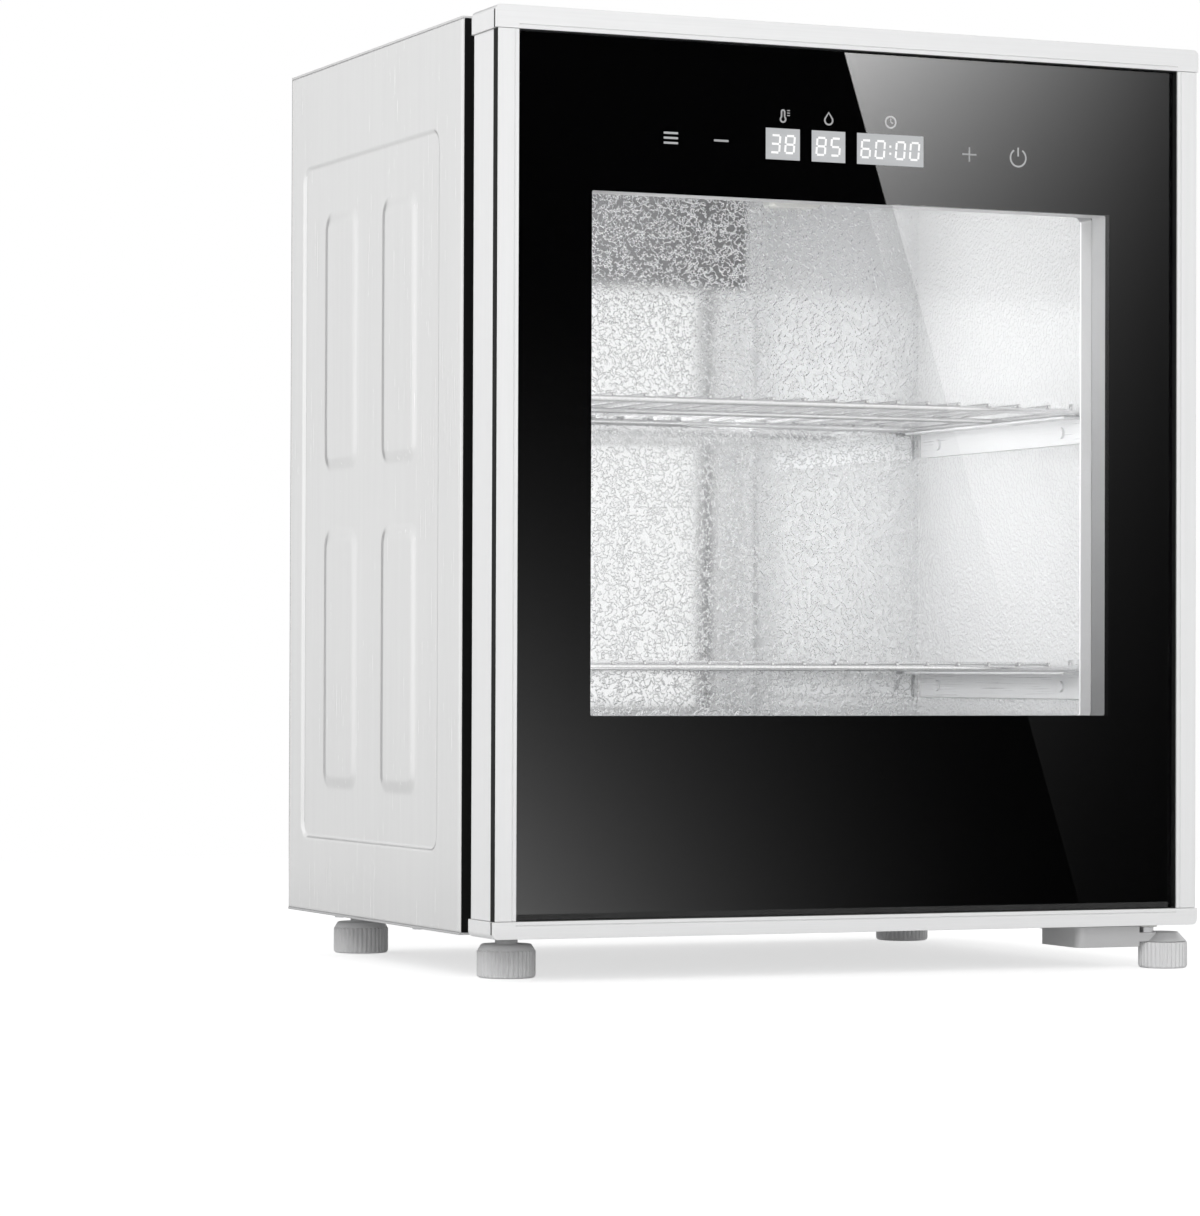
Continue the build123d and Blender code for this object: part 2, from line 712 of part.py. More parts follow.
# --- rear equipment --------------------------------------------------------------------------------
def power_board():
    """Circuit board on standoffs, with a transformer, a relay and capacitors."""
    width, height = power_board_size
    z0 = base + power_board_above_base
    x0 = left + power_board_from_side - width / 2
    front = service_front + service_sheet
    board_y = (front + standoff, front + standoff + board_thickness)
    board = block((x0, x0 + width), board_y, (z0, z0 + height))
    for x in (x0 + power_board_corner, x0 + width - power_board_corner):
        for z in (z0 + power_board_corner, z0 + height - power_board_corner):
            board += pin_through(x, (front, board_y[0]), z, standoff_radius)
    back = board_y[1]
    transformer_x = x0 + transformer_from_left
    transformer_z = z0 + (height - transformer_size[2]) / 2
    board += block((transformer_x, transformer_x + transformer_size[0]), (back, back + transformer_size[1]),
                   (transformer_z, transformer_z + transformer_size[2]))
    relay_x = x0 + width - relay_from_right
    relay_z = z0 + height / 4
    board += block((relay_x - relay_size[0], relay_x), (back, back + relay_size[1]),
                   (relay_z - relay_size[2] / 2, relay_z + relay_size[2] / 2))
    for number in range(capacitor_count):
        x = x0 + capacitor_from_left + number * capacitor_pitch
        board += pin_through(x, (back, back + transformer_size[1]), z0 + height * 2 / 3, capacitor_radius)
    return board


def mains_inlet():
    """Recessed three-blade appliance inlet, its flange level with the rear edges."""
    z = (base + inlet_above_base, base + inlet_above_base + inlet_height)
    x = (inlet_x - inlet_width / 2, inlet_x + inlet_width / 2)
    mouth = rear_panel_back + inlet_flange_thickness
    body = block(x, (mouth - inlet_depth, mouth), z)
    body += plate(grown(x, inlet_flange), (rear_panel_back, mouth), grown(z, inlet_flange), inlet_corner)
    floor = mouth - inlet_depth + inlet_wall
    hollow_y = (floor, mouth + past)
    body -= plate(grown(x, -inlet_wall), hollow_y, grown(z, -inlet_wall), inlet_mouth_corner)
    for number in (-1, 0, 1):
        centre_x = inlet_x + number * blade_pitch
        centre_z = (z[0] + z[1]) / 2 + (blade_offset if number == 0 else -blade_offset)
        blade_x = (centre_x - blade_size[0] / 2, centre_x + blade_size[0] / 2)
        blade_z = (centre_z - blade_size[1] / 2, centre_z + blade_size[1] / 2)
        body += block(blade_x, (floor - sink, floor + blade_length), blade_z)
    return body


def panel_screws():
    """Heads of the screws in the rear panel and in the base."""
    heads = []
    rear_y = (rear_panel_back, rear_panel_back + screw_head)
    for side in (-1, 1):
        x = side * (right - sheet - screw_inset)
        for level in rear_screw_levels:
            heads.append(pin_through(x, rear_y, base + cabinet_height * level, screw_radius))
        front_y = body_front + bracket_reach + base_screw_gaps[0]
        for y in (front_y, body_rear - foot_from_rear - base_screw_gaps[1]):
            heads.append(post(side * (right - screw_inset), y, (base - screw_head, base), screw_radius))
    return Compound(heads)


# --- feet ------------------------------------------------------------------------------------------
def knurled(x, y, z, radius):
    """A ribbed cylinder with a rounded lower edge."""
    points = []
    for rib in range(knurl_ribs):
        for share, reach in ((0, radius - knurl_depth), (rib_start, radius), (1 - rib_start, radius)):
            angle = 2 * pi * (rib + share) / knurl_ribs
            points.append((reach * cos(angle), reach * sin(angle)))
    ribbed = extrude(Pos(x, y, z[0]) * make_face(Polyline(*points, close=True)), amount=z[1] - z[0])
    envelope = post(x, y, z, radius)
    envelope = fillet(envelope.edges().sort_by(Axis.Z)[0], foot_round)
    return ribbed & envelope


def collar(x, y, z, lower_radius, upper_radius):
    """A cone that narrows upward."""
    return Pos(x, y, (z[0] + z[1]) / 2) * Cone(lower_radius, upper_radius, z[1] - z[0])


def body_foot(place):
    """Levelling foot under the body: knurled base, collar, neck and stud."""
    x, y = place
    knurl_z = base - knurl_top
    foot = knurled(x, y, (0, knurl_z), foot_radius)
    foot += collar(x, y, (knurl_z, knurl_z + collar_height), foot_radius - collar_inset, collar_top_radius)
    foot += post(x, y, (knurl_z + collar_height, base - touch_gap), neck_radius)
    return foot + post(x, y, (knurl_z, base + stud_reach), stud_radius)


def hinge_foot():
    """Smaller levelling foot under the hinge bracket's boss."""
    boss_bottom = boss_top - boss_height
    foot = knurled(hinge_foot_x, hinge_foot_y, (0, boss_bottom - touch_gap), hinge_foot_radius)
    stud_z = (boss_bottom - touch_gap, boss_top - stud_end_gap)
    return foot + post(hinge_foot_x, hinge_foot_y, stud_z, stud_radius)


# --- hinges ----------------------------------------------------------------------------------------
def lower_hinge_bracket():
    """Cast bracket: plate under the body, block under the door and a boss over the hinge foot."""
    block_right = pivot_x - bush_radius - flange_reach - neck_room
    block_y = (door_front + bracket_front, body_front + bracket_past_front)
    block_z = (bracket_top - bracket_height, bracket_top)
    cast = block((bracket_start, block_right), block_y, block_z)
    front_edges = cast.edges().filter_by(Axis.Z).group_by(Axis.Y)[0].sort_by(Axis.X)
    cast = fillet(front_edges[0], bracket_corner)
    boss_z = (boss_top - boss_height, boss_top)
    neck_y = (block_y[0], hinge_foot_y + boss_top_radius)
    cast += block((block_right - sink, hinge_foot_x), neck_y, boss_z)
    lower_radius = hinge_foot_radius - boss_lower_inset
    cast += collar(hinge_foot_x, hinge_foot_y, boss_z, lower_radius, boss_top_radius)
    plate_y = (body_front - bracket_plate_lead, body_front + bracket_reach)
    cast += block((bracket_start, right - bracket_side_gap), plate_y, (base - bracket_plate, base))
    bore_z = (boss_z[0] - past, boss_top - bore_end)
    return cast - post(hinge_foot_x, hinge_foot_y, bore_z, stud_radius + running_gap)


def lower_hinge_pin():
    """Pin on the bracket with a shoulder under the door's bush."""
    shoulder_top = base - bush_flange - touch_gap
    pin = post(pivot_x, pivot_y, (boss_top, shoulder_top), collar_radius)
    pin_end = base + bottom_cap_height - bottom_web - pin_end_gap
    return pin + post(pivot_x, pivot_y, (boss_top, pin_end), pin_radius)


def hanger_limits():
    """Lower and upper ends of the upper bracket's hanger, below the shell's top flange."""
    hanger_top = top - 2 * sheet - hanger_drop
    return hanger_top - hanger_height, hanger_top


def upper_hinge_bracket():
    """Flat arm through the front frame, with a hanger plate behind it and a pin at its end."""
    z = (arm_top - arm_thickness, arm_top)
    x = (pivot_x - arm_half_width, pivot_x + arm_half_width)
    bracket = block(x, (pivot_y, frame_back + hanger_thickness), z)
    bracket += post(pivot_x, pivot_y, z, arm_half_width)
    hanger_x = (pivot_x - arm_half_width, right - hanger_side_gap)
    bracket += block(hanger_x, (frame_back, frame_back + hanger_thickness), hanger_limits())
    return bracket + post(pivot_x, pivot_y, (z[0], top - cap_web - upper_pin_gap), pin_radius)


def hinge_screws():
    """Screws of the lower bracket's plate and of the upper bracket's hanger."""
    heads = []
    z = (base - bracket_plate - screw_head, base - bracket_plate)
    plate_right = right - bracket_side_gap - hinge_screw_inset
    for x in (bracket_start + hinge_screw_inset, plate_right):
        for y in (body_front + hinge_screw_front, body_front + bracket_reach - hinge_screw_inset):
            heads.append(post(x, y, z, screw_radius))
    y = (frame_back + hanger_thickness, frame_back + hanger_thickness + screw_head)
    hanger_z = hanger_limits()[0] + hanger_screw_rise
    for x in (pivot_x, right - hinge_screw_inset):
        heads.append(pin_through(x, y, hanger_z, screw_radius))
    return Compound(heads)


def hinge_bush(z, flange):
    """Plastic sleeve in a cap, with a flange of the given thickness below it."""
    bush = post(pivot_x, pivot_y, z, bush_radius)
    if flange:
        bush += post(pivot_x, pivot_y, (z[0] - flange, z[0]), bush_radius + flange_reach)
    return bush - post(pivot_x, pivot_y, grown((z[0] - flange, z[1]), past), pin_radius + running_gap)


# --- door ------------------------------------------------------------------------------------------
def stile():
    """Left aluminium stile: hollow profile with a strip groove and a bead beside the glass."""
    outer = left + cap_overhang
    inner = left + stile_width
    z = stile_limits()
    profile = block((outer, inner), (door_front, door_back), z)
    edges = profile.edges().filter_by(Axis.Z).group_by(Axis.X)[0].sort_by(Axis.Y)
    profile = fillet(edges[-1], stile_corner)
    groove_y = (door_front + groove_front, door_front + groove_front + groove_width)
    profile -= block((outer - past, outer + groove_depth), groove_y, grown(z, past))
    bead = (inner - bead_width - bead_groove_width, inner - bead_width)
    profile -= block(bead, (door_front - past, door_front + bead_groove_depth), grown(z, past))
    hollow_y = (groove_y[1] + profile_wall, door_back - profile_wall)
    hollow = block((outer + profile_wall, inner - profile_wall), hollow_y, grown(z, past))
    hollow_edges = hollow.edges().filter_by(Axis.Z).group_by(Axis.X)[0].sort_by(Axis.Y)
    return profile - fillet(hollow_edges[-1], stile_corner - profile_wall)


def stile_limits():
    """Lower and upper ends of the stiles, a hair short of the caps."""
    return base + bottom_cap_height + cap_joint, top - top_cap_height - cap_joint


def stile_strip():
    """Black strip in the stile's groove, a little below its face."""
    outer = left + cap_overhang
    y = (door_front + groove_front, door_front + groove_front + groove_width)
    return block((outer + strip_recess, outer + groove_depth), y, stile_limits())


def cap(z, outer_up):
    """Full-width rail at the top or bottom of the door, rounded on its outer rear edge."""
    shape = block((left, right), (door_front, door_back), z)
    outer_face = shape.faces().sort_by(Axis.Z)[-1 if outer_up else 0]
    ends = outer_face.edges().filter_by(Axis.Y)
    rear = outer_face.edges().filter_by(Axis.X).sort_by(Axis.Y)[-1:]
    upright = shape.edges().filter_by(Axis.Z).group_by(Axis.Y)[-1]
    shape = fillet(list(ends) + list(rear) + list(upright), cap_corner)
    groove_y = (door_front + groove_front, door_front + groove_front + cap_groove_width)
    for side in (-1, 1):
        groove_x = sorted((side * (right + past), side * (right - cap_groove_depth)))
        shape -= block(groove_x, groove_y, grown(z, past))
    inner_edge = z[0] + bead_width if outer_up else z[1] - bead_width - bead_groove_width
    bead_z = (inner_edge, inner_edge + bead_groove_width)
    return shape - block(glass_x, (door_front - past, door_front + bead_groove_depth), bead_z)


def top_cap():
    """Top rail with the pocket that the hinge arm turns in and the bore for its bush."""
    shape = cap((top - top_cap_height, top), True)
    pocket_bottom = arm_top - arm_thickness - arm_play
    pocket_x = (pivot_x - arm_half_width - pocket_side, right + past)
    pocket_y = (door_front + pocket_front, door_back + past)
    shape -= block(pocket_x, pocket_y, (pocket_bottom, pocket_top))
    return shape - post(pivot_x, pivot_y, (pocket_bottom, top - cap_web), bush_radius)


def bottom_cap():
    """Bottom rail with the bore for the lower bush."""
    shape = cap((base, base + bottom_cap_height), False)
    return shape - post(pivot_x, pivot_y, (base - past, base + bottom_cap_height - bottom_web), bush_radius)


def outer_glass():
    """Front pane between the stiles and the caps."""
    return block(grown(glass_x, -glass_edge_gap), (glass_front, glass_back), grown(glass_z, -glass_edge_gap))


def black_mask():
    """Thin black print behind the front pane, open at the window and at the displays."""
    y = (glass_back, glass_back + mask)
    sheet_mask = block(grown(glass_x, -glass_edge_gap), y, grown(glass_z, -glass_edge_gap))
    sheet_mask -= plate(window_x, grown(y, past), window_z, window_corner)
    for name in display_widths:
        sheet_mask -= block(display_x(name), grown(y, past), display_z())
    return sheet_mask


def spacer_frame():
    """Aluminium spacer between the two panes, round the window."""
    y = (spacer_front, inner_glass_front)
    outer_x = grown(window_x, spacer_width)
    outer_z = grown(window_z, spacer_width)
    return ring(outer_x, outer_z, window_x, window_z, y, spacer_corner, window_corner)


def inner_glass():
    """Rear pane against the spacer."""
    y = (inner_glass_front, inner_glass_back)
    return block(grown(window_x, spacer_width), y, grown(window_z, spacer_width))


def inner_frame():
    """Moulded frame that holds the panes, the control board and the gasket."""
    x = grown(glass_x, -glass_edge_gap)
    z = grown(glass_z, -glass_edge_gap)
    y = (glass_back + mask, door_back)
    opening = (grown(window_x, frame_margin), grown(window_z, frame_margin))
    moulding = ring(x, z, *opening, y, frame_outer_corner, moulding_corner)
    seat_y = (y[0] - past, inner_glass_back)
    seat_margin = spacer_width + fit_gap
    moulding -= block(grown(window_x, seat_margin), seat_y, grown(window_z, seat_margin))
    room_z = grown(board_z(), board_room)
    room_y = (y[0] - past, glass_back + mask + display_depth + board_thickness + board_back_room)
    moulding -= block(grown(board_x(), board_room), room_y, room_z)
    seat_x, seat_z = gasket_limits()
    groove_y = (door_back - gasket_slot_depth, door_back + past)
    return moulding - gasket_band(seat_x, seat_z, groove_y, gasket_width / 2, gasket_slot / 2)


def gasket_band(x, z, y, middle, half):
    """A band of the given half width that runs round the gasket's limits, its centre line inside them."""
    outer = (grown(x, half - middle), grown(z, half - middle))
    inner = (grown(x, -half - middle), grown(z, -half - middle))
    return ring(*outer, *inner, y, gasket_slot_corner, window_corner)


def gasket_limits():
    """Outer limits of the gasket on the door's back."""
    x = (left + gasket_edge, pivot_x + gasket_past_pivot)
    z = (base + gasket_edge, top - gasket_edge)
    return x, z


def door_gasket():
    """Magnetic seal: a hollow-lipped strip with a foot pushed into the inner frame's slot."""
    x, z = gasket_limits()
    y = (door_back, body_front - touch_gap)
    inner_x = grown(x, -gasket_width)
    inner_z = grown(z, -gasket_width)
    lip_y = (y[1] - gasket_lip_depth, y[1])
    seal = ring(x, z, inner_x, inner_z, lip_y, gasket_outer_corner, gasket_inner_corner)
    outer = (grown(x, -gasket_lip), grown(z, -gasket_lip))
    inner = (grown(inner_x, gasket_lip), grown(inner_z, gasket_lip))
    inset_corner = gasket_outer_corner - gasket_lip / 2
    seal += ring(*outer, *inner, (y[0], lip_y[0]), inset_corner, gasket_inner_corner + gasket_lip / 2)
    return seal + gasket_band(x, z, (y[0] - gasket_slot_depth, y[0]), gasket_width / 2, gasket_slot / 2)


# --- controls --------------------------------------------------------------------------------------
def display_x(name):
    """Left and right limits of a display's window; the displays stand in a row."""
    start = display_start
    for other, width in display_widths.items():
        if other == name:
            return (start, start + width)
        start += width + display_gap
    raise KeyError(name)


def display_z():
    """Lower and upper limits of the display windows."""
    return (control_z - display_height / 2, control_z + display_height / 2)


def display(name):
    """Display module seated against the back of the black print, a little larger than its window."""
    y = (glass_back + mask, glass_back + mask + display_depth)
    return block(grown(display_x(name), display_seat), y, grown(display_z(), display_seat))


def pad_places():
    """Centres of the touch pads, two on each side of the displays."""
    last = display_x(list(display_widths)[-1])[1]
    return [display_start - gap for gap in pads_before] + [last + gap for gap in pads_after]


def board_x():
    """Left and right limits of the control board."""
    return grown((pad_places()[0], pad_places()[-1]), board_past_pads)


def board_z():
    """Lower and upper limits of the control board."""
    return (control_z - board_height / 2, control_z + board_height / 2)


def control_board():
    """Board behind the displays, with four touch pads that stand up to the black print."""
    y = (glass_back + mask + display_depth, glass_back + mask + display_depth + board_thickness)
    board = plate(board_x(), y, board_z(), board_corner)
    pad_z = (control_z - pad_size / 2, control_z + pad_size / 2)
    for x in pad_places():
        pad_x = (x - pad_size / 2, x + pad_size / 2)
        board += plate(pad_x, (glass_back + mask, glass_back + mask + pad_depth), pad_z, pad_corner)
        board += pin_through(x, (glass_back + mask + pad_depth, y[0]), control_z, pad_stem)
    return board


# --- write every sub-part --------------------------------------------------------------------------
def cabinet_parts():
    """Pieces of the fixed body."""
    left_panel = side_panel()
    parts = {
        "left_side_panel": left_panel,
        "right_side_panel": mirror(left_panel, Plane.YZ),
        "top_panel": top_panel(),
        "base_pan": base_pan(),
        "rear_panel": rear_panel(),
        "service_plate": service_plate(),
        "front_frame": front_frame(),
        "rail_screws": rail_screws(),
        "fan_cover": fan_cover(),
        "fan_motor": fan_motor(),
        "tray_runners": tray_runners(),
        "heating_element": heating_element(),
        "element_clips": element_clips(),
        "climate_sensor": climate_sensor(),
        "cavity_lamp": cavity_lamp(),
        "power_board": power_board(),
        "mains_inlet": mains_inlet(),
        "panel_screws": panel_screws(),
        "lower_hinge_bracket": lower_hinge_bracket(),
        "lower_hinge_pin": lower_hinge_pin(),
        "upper_hinge_bracket": upper_hinge_bracket(),
        "hinge_screws": hinge_screws(),
    }
    for level in shelf_heights:
        parts[f"{level}_rails"] = rails(level)
    parts.update(liner_sheets())
    parts.update(insulation_slabs())
    return parts


def door_parts():
    """Pieces that swing with the door."""
    left_stile = stile()
    left_strip = stile_strip()
    bottom_z = (base, base + bottom_cap_height - bottom_web)
    top_z = (pocket_top, top - cap_web)
    parts = {
        "door_stile_left": left_stile,
        "door_stile_right": mirror(left_stile, Plane.YZ),
        "stile_strip_left": left_strip,
        "stile_strip_right": mirror(left_strip, Plane.YZ),
        "door_top_cap": top_cap(),
        "door_bottom_cap": bottom_cap(),
        "outer_glass": outer_glass(),
        "black_mask": black_mask(),
        "spacer_frame": spacer_frame(),
        "inner_glass": inner_glass(),
        "door_inner_frame": inner_frame(),
        "door_gasket": door_gasket(),
        "control_board": control_board(),
        "lower_hinge_bush": hinge_bush(bottom_z, bush_flange),
        "upper_hinge_bush": hinge_bush(top_z, 0),
    }
    for name in display_widths:
        parts[f"display_{name}"] = display(name)
    return parts


def loose_parts():
    """Pieces that slide or turn by themselves."""
    parts = {"fan_rotor": fan_rotor(), "water_tray": water_tray(), "foot_hinge": hinge_foot()}
    for level in shelf_heights:
        parts[f"{level}_shelf"] = wire_shelf(level)
    for name, place in foot_places.items():
        parts[f"foot_{name}"] = body_foot(place)
    return parts


os.makedirs("parts", exist_ok=True)
for node, shape in {**cabinet_parts(), **door_parts(), **loose_parts()}.items():
    save(node, shape)
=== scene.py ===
import math

import bpy
import numpy as np
from bpy.props import FloatProperty, FloatVectorProperty, IntProperty, PointerProperty
from mathutils import Matrix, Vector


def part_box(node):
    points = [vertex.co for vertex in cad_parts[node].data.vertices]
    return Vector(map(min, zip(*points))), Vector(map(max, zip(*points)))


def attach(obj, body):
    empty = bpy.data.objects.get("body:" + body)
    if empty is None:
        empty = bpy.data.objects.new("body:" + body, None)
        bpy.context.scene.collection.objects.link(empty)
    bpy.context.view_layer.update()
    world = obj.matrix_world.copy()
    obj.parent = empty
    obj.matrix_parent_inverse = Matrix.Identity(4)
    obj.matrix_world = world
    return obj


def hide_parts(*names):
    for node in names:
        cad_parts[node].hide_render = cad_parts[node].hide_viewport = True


bl_info = {
    "name": "Dough proofer",
    "version": (1, 0, 0),
    "blender": (4, 5, 0),
    "location": "View3D > Sidebar > Proofer",
    "description": "Builds the finishes and fine pieces of a counter-top dough proofer round its fixed frame",
    "category": "Object",
}

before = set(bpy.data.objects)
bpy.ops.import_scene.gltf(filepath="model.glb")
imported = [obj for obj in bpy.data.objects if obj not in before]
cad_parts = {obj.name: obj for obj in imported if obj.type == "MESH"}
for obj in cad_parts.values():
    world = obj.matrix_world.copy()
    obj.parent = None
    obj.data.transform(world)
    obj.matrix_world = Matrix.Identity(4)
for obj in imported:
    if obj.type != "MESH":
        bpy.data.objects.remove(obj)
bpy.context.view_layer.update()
MM = 0.001
WHITE = (1.0, 1.0, 1.0, 1.0)


# --- materials: sockets as values --------------------------------------------------------------------
class Wire:
    """One output of a material's node. Arithmetic on it adds Math nodes."""

    def __init__(self, finish, socket):
        self.finish = finish
        self.socket = socket

    def _math(self, operation, *values):
        return self.finish.node("ShaderNodeMath", {"operation": operation}, dict(enumerate(values)))

    def __add__(self, other):
        return self._math("ADD", self, other)

    def __sub__(self, other):
        return self._math("SUBTRACT", self, other)

    def __rsub__(self, other):
        return self._math("SUBTRACT", other, self)

    def __mul__(self, other):
        return self._math("MULTIPLY", self, other)

    def __pow__(self, other):
        return self._math("POWER", self, other)

    def __rpow__(self, other):
        return self._math("POWER", other, self)

    __radd__ = __add__
    __rmul__ = __mul__

    def over(self, mark):
        """1 above the mark and 0 below it."""
        return self._math("GREATER_THAN", self, mark)

    def limited(self):
        """The value kept between 0 and 1."""
        return self._math("MINIMUM", self._math("MAXIMUM", self, 0.0), 1.0)

    def step(self, low, high):
        """0 below low, 1 above high and a smooth rise between them."""
        values = {"Value": self, "From Min": low, "From Max": high}
        return self.finish.node("ShaderNodeMapRange", {"interpolation_type": "SMOOTHSTEP"}, values)


class Finish:
    """A material, or the world, under construction."""

    def __init__(self, name, world=False):
        self.material = bpy.data.worlds.new(name) if world else bpy.data.materials.new(name)
        self.end = "ShaderNodeOutputWorld" if world else "ShaderNodeOutputMaterial"
        self.material.use_nodes = True
        self.tree = self.material.node_tree
        self.tree.nodes.clear()

    def node(self, kind, settings=None, values=None, output=0):
        """Add a node: its settings first, then the values or links of its sockets."""
        made = self.tree.nodes.new(kind)
        for key, value in (settings or {}).items():
            setattr(made, key, value)
        for key, value in (values or {}).items():
            if isinstance(value, Wire):
                self.tree.links.new(value.socket, made.inputs[key])
            else:
                made.inputs[key].default_value = value
        return Wire(self, made.outputs[output])

    def place(self, stretch=(1.0, 1.0, 1.0), turn=(0.0, 0.0, 0.0)):
        """Object coordinates in metres, stretched and turned."""
        point = self.node("ShaderNodeTexCoord", output="Object")
        return self.node("ShaderNodeMapping", {}, {"Vector": point, "Scale": stretch, "Rotation": turn})

    def along(self, axis):
        """One of the object coordinates, by its capital letter."""
        return self.node("ShaderNodeSeparateXYZ", {}, {"Vector": self.place()}, output=axis)

    def noise(self, scale, stretch=(1.0, 1.0, 1.0), detail=3.0, roughness=0.5, turn=(0.0, 0.0, 0.0)):
        """Soft noise, with scale in cells to the metre."""
        return self.node("ShaderNodeTexNoise", {}, {"Vector": self.place(stretch, turn), "Scale": scale,
                                                    "Detail": detail, "Roughness": roughness})

    def blend(self, factor, first, second):
        """Mix of two colours."""
        settings = {"data_type": "RGBA", "clamp_factor": True}
        return self.node("ShaderNodeMix", settings, {0: factor, 6: first, 7: second}, output=2)

    def soft_edges(self, radius):
        """Normals rounded over the piece's own edges."""
        return self.node("ShaderNodeBevel", {"samples": 6}, {"Radius": radius})

    def relief(self, height, distance, strength=1.0, under=None):
        """Normals bumped by a height between 0 and 1 that stands for a distance in metres."""
        values = {"Height": height, "Distance": distance, "Strength": strength}
        if under is not None:
            values["Normal"] = under
        return self.node("ShaderNodeBump", {}, values)

    def surface(self, **sockets):
        """Finish with a Principled shader; underscores in a name stand for spaces."""
        values = {key.replace("_", " "): value for key, value in sockets.items()}
        return self.output(self.node("ShaderNodeBsdfPrincipled", {}, values))

    def emission(self, strength):
        """White light of a strength."""
        return self.node("ShaderNodeEmission", {}, {"Color": WHITE, "Strength": strength})

    def ray(self, kind):
        """What Light Path knows of the ray."""
        return self.node("ShaderNodeLightPath", output=kind)

    def output(self, shader):
        """Link a shader to the output."""
        self.tree.links.new(shader.socket, self.tree.nodes.new(self.end).inputs["Surface"])
        return self.material


def shade(colour, factor=1.0):
    """A colour with full alpha, made lighter or darker."""
    return (*[min(1.0, channel * factor) for channel in colour], 1.0)


# --- materials: the finishes -------------------------------------------------------------------------
def brushed_metal(name, colour, along, metallic, roughness, edge=0.5 * MM):
    """Metal with fine scratches that run along one axis, faint clouding and softened edges."""
    finish = Finish(name)
    stretch = tuple(0.012 if axis == along else 1.0 for axis in "xyz")
    scratches = finish.noise(1400.0, stretch, 4.0, 0.65)
    bands = finish.noise(190.0, stretch, 2.0, 0.5)
    clouds = finish.noise(9.0, detail=2.0)
    streak = scratches * 0.6 + bands * 0.4
    tone = finish.blend(streak.step(0.32, 0.68), shade(colour, 0.975), shade(colour, 1.015))
    tone = finish.blend(clouds.step(0.35, 0.75) * 0.25, tone, shade(colour, 0.98))
    rough = scratches * 0.16 + clouds * 0.06 + (roughness - 0.11)
    normal = finish.relief(scratches, 0.02 * MM, 0.24, finish.soft_edges(edge))
    return finish.surface(Base_Color=tone, Metallic=metallic, Roughness=rough, Normal=normal)


def stucco_aluminium(name, colour, turn, metallic=0.94):
    """Bright rolled sheet, almost a mirror, under a close relief of short raised grains."""
    finish = Finish(name)
    grains = finish.noise(430.0, detail=1.0, turn=turn)
    dust = finish.noise(14.0, detail=3.0)
    tone = finish.blend(dust.step(0.4, 0.8) * 0.3, shade(colour), shade(colour, 0.97))
    rough = dust * 0.04 + 0.05
    normal = finish.relief(grains.step(0.46, 0.60), 0.24 * MM)
    return finish.surface(Base_Color=tone, Metallic=metallic, Roughness=rough, Normal=normal)


def moulded_plastic(name, colour, roughness, gloss=0.5, edge=0.4 * MM):
    """Moulded plastic with a fine grain, slightly uneven gloss and softened edges."""
    finish = Finish(name)
    grains = finish.noise(2600.0, detail=2.0)
    clouds = finish.noise(35.0, detail=3.0)
    tone = finish.blend(clouds.step(0.3, 0.75) * 0.5, shade(colour), shade(colour, 0.9))
    rough = clouds * 0.12 + grains * 0.06 + (roughness - 0.09)
    normal = finish.relief(grains, 0.05 * MM, 0.4, finish.soft_edges(edge))
    return finish.surface(Base_Color=tone, Roughness=rough, Specular_IOR_Level=gloss, Normal=normal)


def frame_plastic(name, door):
    """Moulded plastic of the door's inner frame: light rear face, with painted shade that makes the jambs
    greyer and the frame over the window dark.
    """
    finish = Finish(name)
    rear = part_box("door_inner_frame")[1].y
    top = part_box("spacer_frame")[1].z - door.spacer_width
    rear_face = finish.along("Y").step(rear - 2 * MM, rear - 1 * MM)
    shade_over_window = finish.along("Z").step(top - 1 * MM, top - 0.2 * MM)
    # Painted shade: the jambs take the darker jamb grey and the frame over the window the near-black housing
    # grey, where the real frame lies in shade.
    tone = finish.blend(rear_face, shade(door.jamb_painted_shade), shade(door.moulding))
    tone = finish.blend(shade_over_window, tone, shade(door.housing_painted_shade))
    rough = finish.noise(35.0, detail=3.0) * 0.12 + 0.3
    normal = finish.relief(finish.noise(2600.0, detail=2.0), 0.05 * MM, 0.4)
    return finish.surface(Base_Color=tone, Roughness=rough, Normal=normal)


def spacer_metal_painted_light(name, door):
    """Anodised channel between the panes, with painted lamp light whose tone deepens evenly from its upper
    end to its lower end.
    """
    finish = Finish(name)
    low, high = span("spacer_frame", 2)
    marks = finish.noise(900.0, (1.0, 1.0, 0.012), 3.0)
    # Painted light: the spacer colour runs from 0.62 at the channel's foot to 1.45 at its top, as if lit by
    # the cavity lamp above.
    height = finish.along("Z").step(low - 40 * MM, high + 40 * MM)
    tone = finish.blend(height, shade(door.spacer, 0.62), shade(door.spacer, 1.45))
    normal = finish.relief(marks, 0.02 * MM, 0.24, finish.soft_edges(0.5 * MM))
    return finish.surface(Base_Color=tone, Metallic=0.3, Roughness=marks * 0.12 + 0.38, Normal=normal)


def mottled(name, colour, noise, band, tones, rough, metallic=0.0, peel=None, edge=None):
    """A finish whose tone and roughness follow one soft noise, with an optional fine relief.

    noise is the cells to the metre and the detail, band the step that leads from one tone to the other, rough
    the gain and the base of the roughness, and peel the relief's cells, detail, depth and strength.
    """
    finish = Finish(name)
    clouds = finish.noise(noise[0], detail=noise[1])
    tone = finish.blend(clouds.step(*band), *[shade(colour, factor) for factor in tones])
    sockets = {"Base_Color": tone, "Metallic": metallic, "Roughness": clouds * rough[0] + rough[1]}
    if peel:
        cells, detail, depth, strength = peel
        under = finish.soft_edges(edge) if edge else None
        sockets["Normal"] = finish.relief(finish.noise(cells, detail=detail), depth, strength, under)
    return finish.surface(**sockets)


def cast_metal(name, colour):
    """Satin grey casting or plated sheet with a slight orange peel."""
    return mottled(name, colour, (30.0, 3.0), (0.35, 0.7), (0.98, 1.015), (0.05, 0.38), 0.45,
                   (700.0, 2.0, 0.03 * MM, 0.5), 0.7 * MM)


